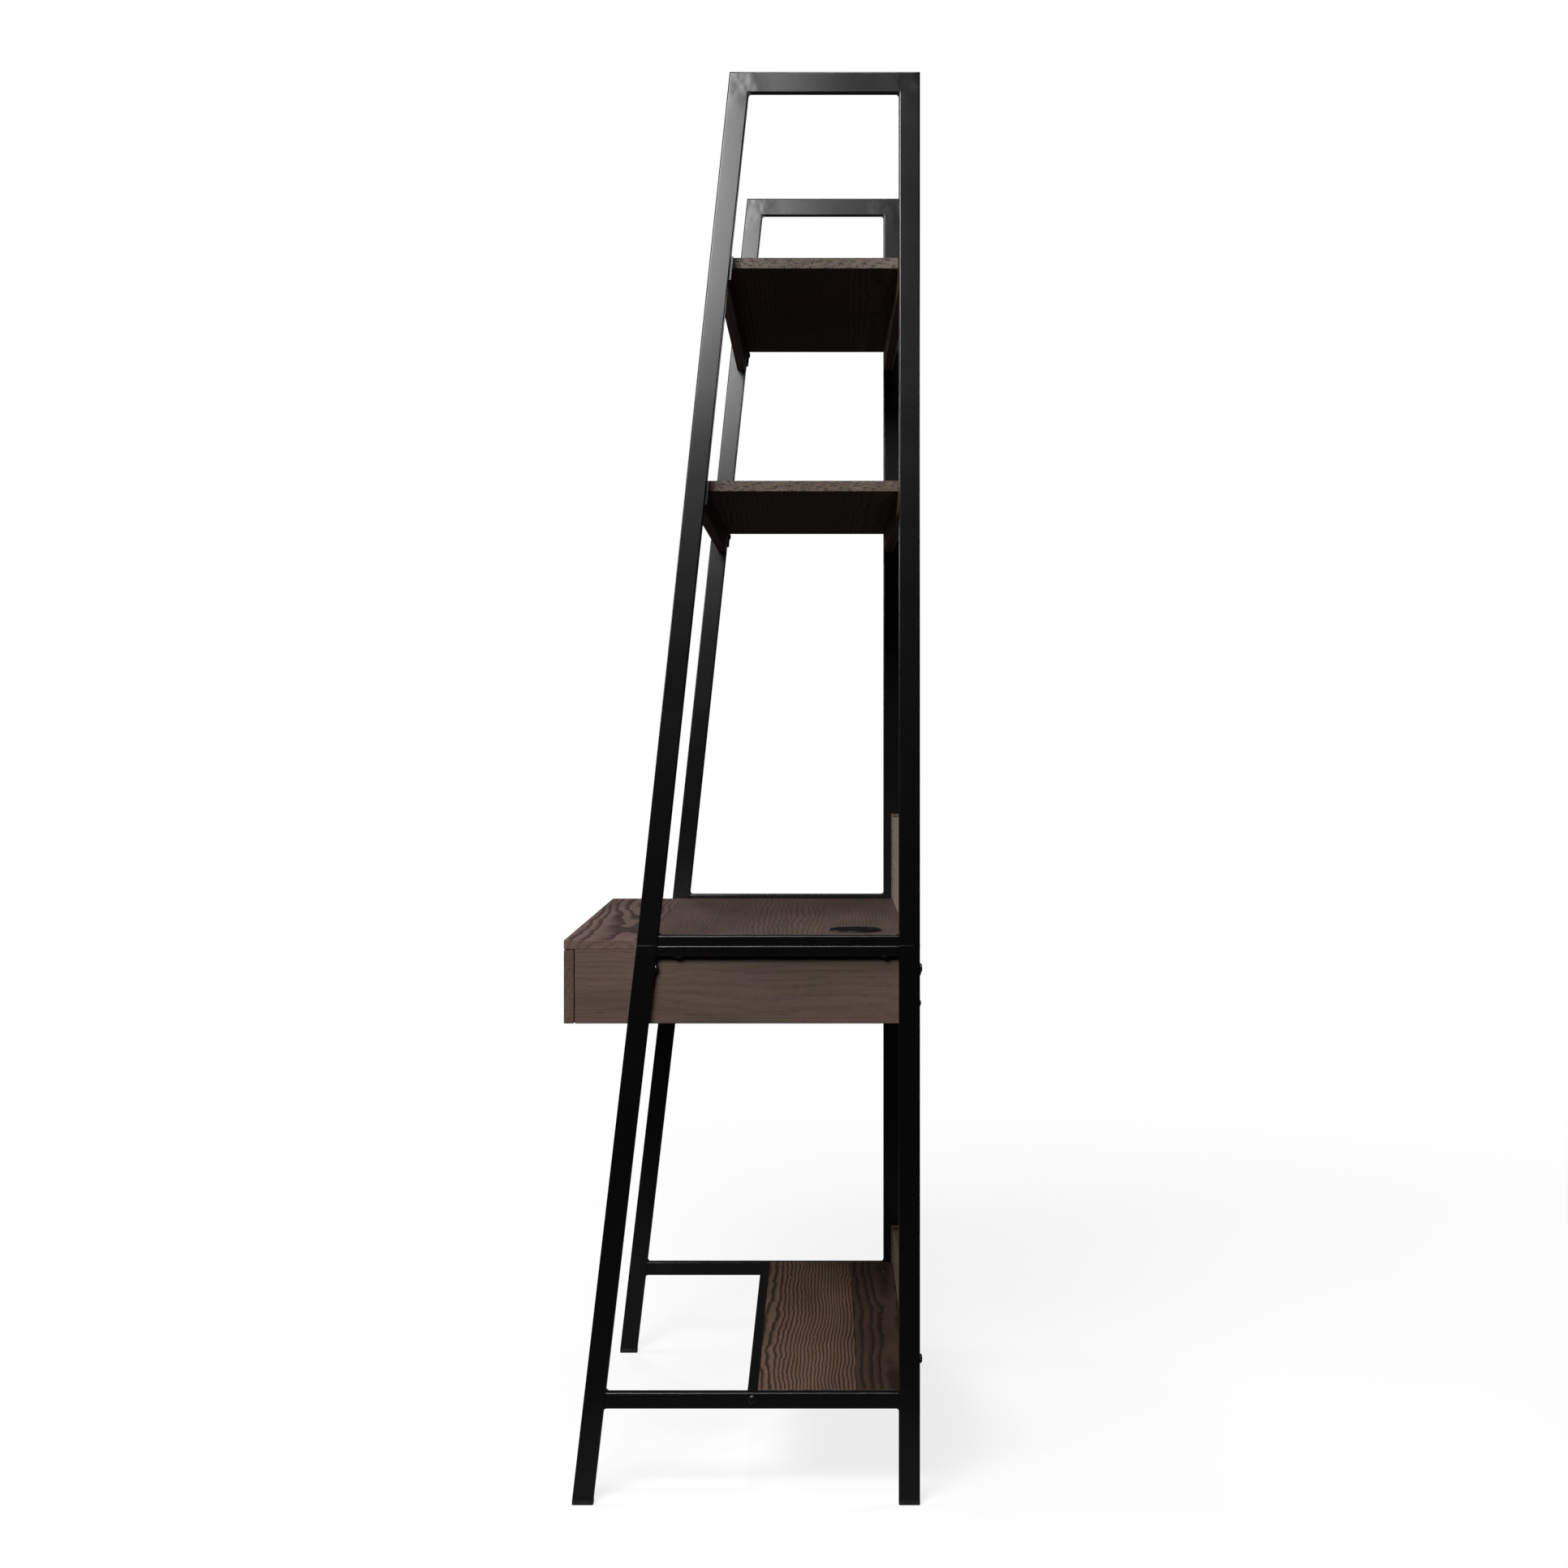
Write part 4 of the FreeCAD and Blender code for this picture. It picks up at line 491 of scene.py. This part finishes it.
# once round the sleeve's wall: radius and height over the desktop, in millimetres
SLEEVE_PROFILE = 0.001 * np.array([
    (27.7, 2.2), (28.0, 2.5), (33.75, 2.5), (34.38, 2.33), (34.83, 1.88), (35.0, 1.25),
    (35.0, 0.2), (34.8, 0.0), (29.9, 0.0), (29.7, -0.2), (29.7, -19.7), (29.4, -20.0),
    (28.0, -20.0), (27.7, -19.7), (27.7, -2.4), (24.4, -2.4), (24.2, -2.2), (24.2, -0.6),
    (24.4, -0.4), (27.7, -0.4)])
SLEEVE_STATIONS = 96                                # once round the axis
CAP_RADIUS, CAP_LOW, CAP_TOP = 0.0274, DESK_TOP - 0.0001, DESK_TOP + 0.0027
SLOT_HALF, SLOT_END = 0.009, 0.0174                 # half width, and its round end's middle
CAP_EDGE = 0.0006                                   # radius of the top edge
RIB_PLACES = (-0.016, -0.011, -0.006, -0.001)
RIB_HALF_WIDTH, RIB_HEIGHT = 0.0011, 0.0006
RIB_REACH = 0.55                                    # share of the cap's half width there
RIB_SINK = 0.00005                                  # of its foot, under the cap's face
RIB_TOP = 0.02                                      # share of its half width that a lid closes
RIM_STATIONS, SIDE_STATIONS, BEND_STATIONS = 97, 7, 25      # round the cap, along the slot, its end
EDGE_STATIONS = 6                                   # over the cap's top edge
RIB_STATIONS, RISE_STATIONS = 48, 7                 # once round a rib, and from foot to top

moulded_black, tree, shader, place = new_material(
    "moulded_black_plastic", roughness=0.38, Specular_IOR_Level=0.2)
skin = use_group(tree, pebbled_skin, Vector=place, Grains_per_metre=3000.0)
dust = use_group(tree, dust_specks, Vector=place, Specks_per_metre=900.0, Amount=0.02)["Mask"]
feed(tree, shader, {
    "Base Color": mixed(tree, maths(tree, "MULTIPLY", dust, 0.4), PLASTIC_BLACK, DUST),
    "Roughness": maths(tree, "MULTIPLY_ADD", skin["Patches"], 0.16, 0.32)})
bump(tree, shader, skin["Height"], depth=0.00006)

turn = np.linspace(0, 2 * np.pi, SLEEVE_STATIONS, endpoint=False)[:, None]
radius, height = SLEEVE_PROFILE.T[:, None]
sleeve_grid = np.stack([GROMMET_AXIS[0] + radius * np.cos(turn),
                        GROMMET_AXIS[1] + radius * np.sin(turn),
                        DESK_TOP + height + 0 * turn], 2)
sleeve = surface("grommet_sleeve_ring", [sleeve_grid], moulded_black, ringed=True, flip=True)
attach(sleeve, "frame")
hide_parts("grommet_sleeve")


def cap_outline():
    """Points and outward normals once round the cap: the circle from one side of the slot to
    the other, radius times (sine, cosine), then down a side, round the end and up again."""
    corner = math.asin(SLOT_HALF / CAP_RADIUS)
    angle = np.linspace(corner, 2 * np.pi - corner, RIM_STATIONS)
    rim = np.stack([np.sin(angle), np.cos(angle)], 1)
    shoulder = CAP_RADIUS * math.cos(corner)
    side = np.linspace(shoulder, SLOT_END, SIDE_STATIONS)[1:-1]
    bend = np.linspace(-np.pi / 2, np.pi / 2, BEND_STATIONS)
    round_end = np.stack([np.sin(bend), -np.cos(bend)], 1)
    down = np.stack([np.full(len(side), -SLOT_HALF), side], 1)
    points = np.concatenate([CAP_RADIUS * rim, down, SLOT_HALF * round_end + (0, SLOT_END),
                             (down * (-1, 1))[::-1]])
    normals = np.concatenate([rim, np.tile((1, 0), (len(side), 1)), -round_end,
                              np.tile((-1, 0), (len(side), 1))])
    corners = [0, RIM_STATIONS - 1]                 # of the slot, where two sides meet
    normals[corners] = normals[corners] + ((-1, 0), (1, 0))
    return points, normals


def capped_wall(outline, normals, low, top, edge):
    """Side wall of a plate: stations that step in by edge * (1 - cos) and rise by edge * sin
    at the top, with a small chamfer below. Returns a grid with one row for each point."""
    swing = np.linspace(0, np.pi / 2, EDGE_STATIONS)
    inset = np.concatenate([[edge / 2, 0], edge * (1 - np.cos(swing))])
    level = np.concatenate([[low, low + edge / 2], top - edge + edge * np.sin(swing)])
    flat = outline[:, None, :] - inset[None, :, None] * normals[:, None, :] + GROMMET_AXIS
    return np.concatenate([flat, np.broadcast_to(level, flat.shape[:2])[..., None]], 2)


def rib(place_y):
    """Half-round rib along X with round ends: height times the square root of one less the
    squared distance from its middle line, which closes it on the cap all round."""
    reach = RIB_REACH * math.sqrt(CAP_RADIUS ** 2 - place_y ** 2)
    along = np.linspace(0, 2 * np.pi, RIB_STATIONS, endpoint=False)[:, None]
    share = np.linspace(1, RIB_TOP, RISE_STATIONS)[None, :]
    end = np.sign(np.cos(along)) * (reach - RIB_HALF_WIDTH)
    x = end + RIB_HALF_WIDTH * np.cos(along) * share
    y = place_y + RIB_HALF_WIDTH * np.sin(along) * share
    z = CAP_TOP - RIB_SINK + RIB_HEIGHT * np.sqrt(1 - share ** 2) + 0 * along
    return np.stack([GROMMET_AXIS[0] + x, GROMMET_AXIS[1] + y, z], 2)


wall = capped_wall(*cap_outline(), CAP_LOW, CAP_TOP, CAP_EDGE)
cap = surface("grommet_cap_plate", [wall] + [rib(y) for y in RIB_PLACES], moulded_black, lids=True)
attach(cap, "cable_cap")
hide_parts("grommet_cap")

# ---- Drawer --------------------------------------------------------------------------
# An oak face, with a finger pull cut behind its lower edge, on a box of birch plywood that
# is dowelled at its corners and holds its floor in a groove. It runs on ball slides.
FACE_GLUE_LINE = -0.2188                            # Y, across the face's cut ends
BIRCH_LIGHT, BIRCH_DARK = (0.53, 0.395, 0.25, 1), (0.47, 0.335, 0.20, 1)
BIRCH_LAYER = (0.26, 0.155, 0.08, 1)
LAYER_THICKNESS = 0.0014
BEECH, BEECH_FLECK = (0.55, 0.38, 0.24, 1), (0.36, 0.21, 0.11, 1)

set_material(["drawer_face"], oak(
    "oak_drawer_face", ((0.0, 0.0, 0.007, 0.7, 1.0),), level=0.66, Heart=0.05, Wander=0.05,
    Seed=7.0, end=(0.103, 0.061, 0.044, 1), dashes=0.3, lines=(FACE_GLUE_LINE,)))


def birch_plywood(name, layers):
    """Birch plywood whose layers lie across one axis: a triangle wave along it, one layer's
    thickness up and one down, makes light and dark stripes on the edges, and the faces have a
    faint rotary grain."""
    material, tree, shader, place = new_material(name, Specular_IOR_Level=0.3)
    facing = axes(tree, coordinates(tree, "Normal"))
    edge = ramp(tree, maths(tree, "ABSOLUTE", facing[layers]), 0.5, 0.2)
    layer = maths(tree, "PINGPONG", axes(tree, place)[layers], LAYER_THICKNESS)
    stripe = maths(tree, "MULTIPLY", ramp(tree, layer, 0.0006, 0.0009), edge)
    swirl_scale = {"X": (60, 8, 14), "Y": (8, 60, 14), "Z": (8, 34, 60)}[layers]
    swirl = noise(tree, place, swirl_scale, 4.0)
    face = mixed(tree, ramp(tree, swirl, 0.35, 0.7), BIRCH_LIGHT, BIRCH_DARK)
    flecks = ramp(tree, noise(tree, place, (260, 260, 260)), 0.6, 0.75)
    feed(tree, shader, {"Base Color": mixed(tree, stripe, face, BIRCH_LAYER),
                        "Roughness": maths(tree, "MULTIPLY_ADD", flecks, 0.2, 0.45)})
    bump(tree, shader, maths(tree, "SUBTRACT", swirl, stripe), depth=0.00006)
    return material


set_material(["drawer_right_side", "drawer_left_side"], birch_plywood("drawer_ply_sides", "X"))
set_material(["drawer_back"], birch_plywood("drawer_ply_back", "Y"))
set_material(["drawer_bottom"], birch_plywood("drawer_ply_floor", "Z"))

beech, tree, shader, place = new_material("beech_dowel", roughness=0.55)
flecks = ramp(tree, noise(tree, place, (500, 500, 500), 1.0), 0.58, 0.7)
feed(tree, shader, {"Base Color": mixed(tree, flecks, BEECH, BEECH_FLECK)})
bump(tree, shader, flecks, depth=0.00004)
set_material(["wood_dowels", "drawer_dowels"], beech)

# ---- Drawer slides -------------------------------------------------------------------
# Three rolled sheet-steel members on each side, zinc plated and thinly greased, fixed with
# flush screws to the case and to the drawer.
ZINC_BRIGHT, ZINC_BLOOM = (0.62, 0.63, 0.66, 1), (0.42, 0.42, 0.43, 1)

zinc, tree, shader, place = new_material("zinc_plated_steel", roughness=0.32, Metallic=1.0)
rolled = noise(tree, place, (700, 9, 700))
bloom = ramp(tree, noise(tree, place, (45, 45, 45), 4.0), 0.4, 0.7)
greased = maths(tree, "MULTIPLY_ADD", bloom, 0.15, 0.16)
feed(tree, shader, {"Base Color": mixed(tree, bloom, ZINC_BRIGHT, ZINC_BLOOM),
                    "Roughness": maths(tree, "MULTIPLY_ADD", rolled, 0.2, greased)})
bump(tree, shader, rolled, depth=0.00003)
set_material([n for n in nodes if record_slot[n] == "zinc_steel"], zinc)

# ---- Upper shelves -------------------------------------------------------------------
# Each shelf is a glued oak panel with a rail dowelled under its front and back edges, and
# the rails are screwed to tabs that are welded to the legs.
SHELF_STRIPS = ((0.0, -0.06, 0.006, 0.8, 1.0), (0.035, 0.15, 0.0045, 0.5, 0.9),
                (0.135, 0.18, 0.007, 0.7, 1.05))
SHELVES = (("middle_shelf", 1.30, 13.0, (0.094, 0.065, 0.055, 1)),  # level, seed and end colour
           ("top_shelf", 1.59, 17.0, (0.092, 0.074, 0.067, 1)))

for shelf, level, seed, end in SHELVES:
    set_material([n for n in nodes if n.startswith(shelf)], oak(
        "oak_" + shelf, SHELF_STRIPS, level=level, Heart=0.03, Seed=seed, end=end))

# ---- Studio --------------------------------------------------------------------------
# A plain pale floor that keeps the desk's shadow and runs out into a white surround. The
# half of the room that the near side frame faces is dim, and the floor throws little up.
bpy.context.scene.view_settings.view_transform = "Standard"
FLOOR_RADIUS, FLOOR_CORNERS = 3.2, 128
FLOOR_FADE = (1.3, 3.0)                             # where it fades out, from the middle
FLOOR_MIRRORED = (0.5, 1.0, 0.2, 0.02)              # distances, and how bright it mirrors there
FLOOR_BOUNCE, FLOOR_SHADED = (0.03, 0.03, 0.03, 1), (0.26, 0.26, 0.26, 1)
FLOOR_GLOW = 0.74
ROOM_LIGHT = 0.06
ROOM_RISE = (-0.05, 0.6)                            # the direction's Z, from dark to full light
ROOM_MIRRORED = (0.30, -0.25, 0.012, 0.022)         # the direction's X, and how bright it is there
WHITE = (1, 1, 1, 1)


def sight_rays(tree):
    """Two masks: the camera's own rays, and the glossy and transmission rays."""
    path = add(tree, "LightPath").outputs
    mirrored = maths(tree, "MAXIMUM", path["Is Glossy Ray"], path["Is Transmission Ray"])
    return path["Is Camera Ray"], mirrored


def seen_at(tree, rays, level):
    """Mask of 1 for the camera's own rays and a level for the mirrored ones, because the half
    of the room before the near side frame is dim."""
    own, mirrored = rays
    return maths(tree, "MAXIMUM", own, maths(tree, "MULTIPLY", mirrored, level))


world = bpy.data.worlds.new("studio")
bpy.context.scene.world = world
world.use_nodes = True
tree = world.node_tree
tree.nodes.clear()
direction = axes(tree, coordinates(tree, "Generated"))
rays = sight_rays(tree)
seen = seen_at(tree, rays, ramp(tree, direction["X"], *ROOM_MIRRORED))
light = ramp(tree, direction["Z"], *ROOM_RISE, 0.0, ROOM_LIGHT)
room = add(tree, "Background", {"Color": WHITE, "Strength": light})
white = add(tree, "Background", {"Color": WHITE, "Strength": seen})
both = add(tree, "MixShader", {0: maths(tree, "MAXIMUM", *rays), 1: room.outputs[0],
                               2: white.outputs[0]})
add(tree, "OutputWorld", {"Surface": both.outputs[0]})

rim = np.linspace(0, 2 * np.pi, FLOOR_CORNERS, endpoint=False)
corners = np.stack([FLOOR_RADIUS * np.cos(rim), FLOOR_RADIUS * np.sin(rim), 0 * rim], 1)
floor_mesh = bpy.data.meshes.new("floor")
floor_mesh.from_pydata(corners.tolist(), [], [list(range(FLOOR_CORNERS))])
floor = bpy.data.objects.new("floor", floor_mesh)
bpy.context.scene.collection.objects.link(floor)
pale_floor = bpy.data.materials.new("pale_floor")
pale_floor.use_nodes = True
floor_mesh.materials.append(pale_floor)
tree = pale_floor.node_tree
tree.nodes.clear()
outward = vector_maths(tree, "LENGTH", coordinates(tree), output="Value")
seen = seen_at(tree, sight_rays(tree), ramp(tree, outward, *FLOOR_MIRRORED))
bounce = add(tree, "BsdfDiffuse", {"Color": FLOOR_BOUNCE})
shaded = add(tree, "BsdfDiffuse", {"Color": FLOOR_SHADED})
glow = add(tree, "Emission", {"Color": WHITE, "Strength": FLOOR_GLOW})
pale = add(tree, "AddShader", {0: shaded.outputs[0], 1: glow.outputs[0]})
lit = add(tree, "MixShader", {0: seen, 1: bounce.outputs[0], 2: pale.outputs[0]})
clear = add(tree, "BsdfTransparent")
edge = add(tree, "MixShader", {0: ramp(tree, outward, *FLOOR_FADE), 1: lit.outputs[0],
                               2: clear.outputs[0]})
add(tree, "OutputMaterial", {"Surface": edge.outputs[0]})


def soft_lamp(name, place, aim, size, power, mirrored=True):
    """Rectangular area lamp at a place, turned to face a point. One that isn't mirrored gives
    light but no shine."""
    data = bpy.data.lights.new(name, "AREA")
    data.shape = "RECTANGLE"
    data.size, data.size_y = size
    data.energy = power
    lamp = bpy.data.objects.new(name, data)
    bpy.context.scene.collection.objects.link(lamp)
    away = np.array(aim, float) - np.array(place, float)
    away /= np.linalg.norm(away)
    lamp.location = place
    lamp.visible_glossy = mirrored
    lamp.rotation_euler = (math.acos(-away[2]), 0, math.atan2(-away[0], away[1]))


soft_lamp("key_softbox", (2.5, -0.655, 2.26), (0, 0, 0.9), (0.98, 0.87), 79)
soft_lamp("side_lamp", (2.5, -1.45, 2.33), (0, 0, 0.9), (0.2, 0.2), 14)
soft_lamp("top_lamp", (1.7, 0.1, 3.3), (0, 0, 0.7), (0.26, 0.26), 18)
soft_lamp("front_softbox", (-0.3, -2.9, 1.6), (0, 0, 0.8), (1.4, 0.5), 48)
soft_lamp("rear_softbox", (-0.8, 3.0, 1.75), (0, 0, 0.8), (1.4, 0.6), 40)
soft_lamp("left_fill", (-2.9, -0.9, 1.6), (0, 0, 0.9), (0.9, 0.7), 27, mirrored=False)

# the camera looks level at the desk's right side, along -X
camera_data = bpy.data.cameras.new("camera")
camera_data.sensor_width = 36
camera_data.lens = 55.71
camera_data.shift_x, camera_data.shift_y = -0.0228, -0.0391
camera = bpy.data.objects.new("camera", camera_data)
camera.location = (3.476, 0.0985, 0.9985)
camera.rotation_euler = (math.pi / 2, 0, math.pi / 2)
bpy.context.scene.collection.objects.link(camera)
bpy.context.scene.camera = camera
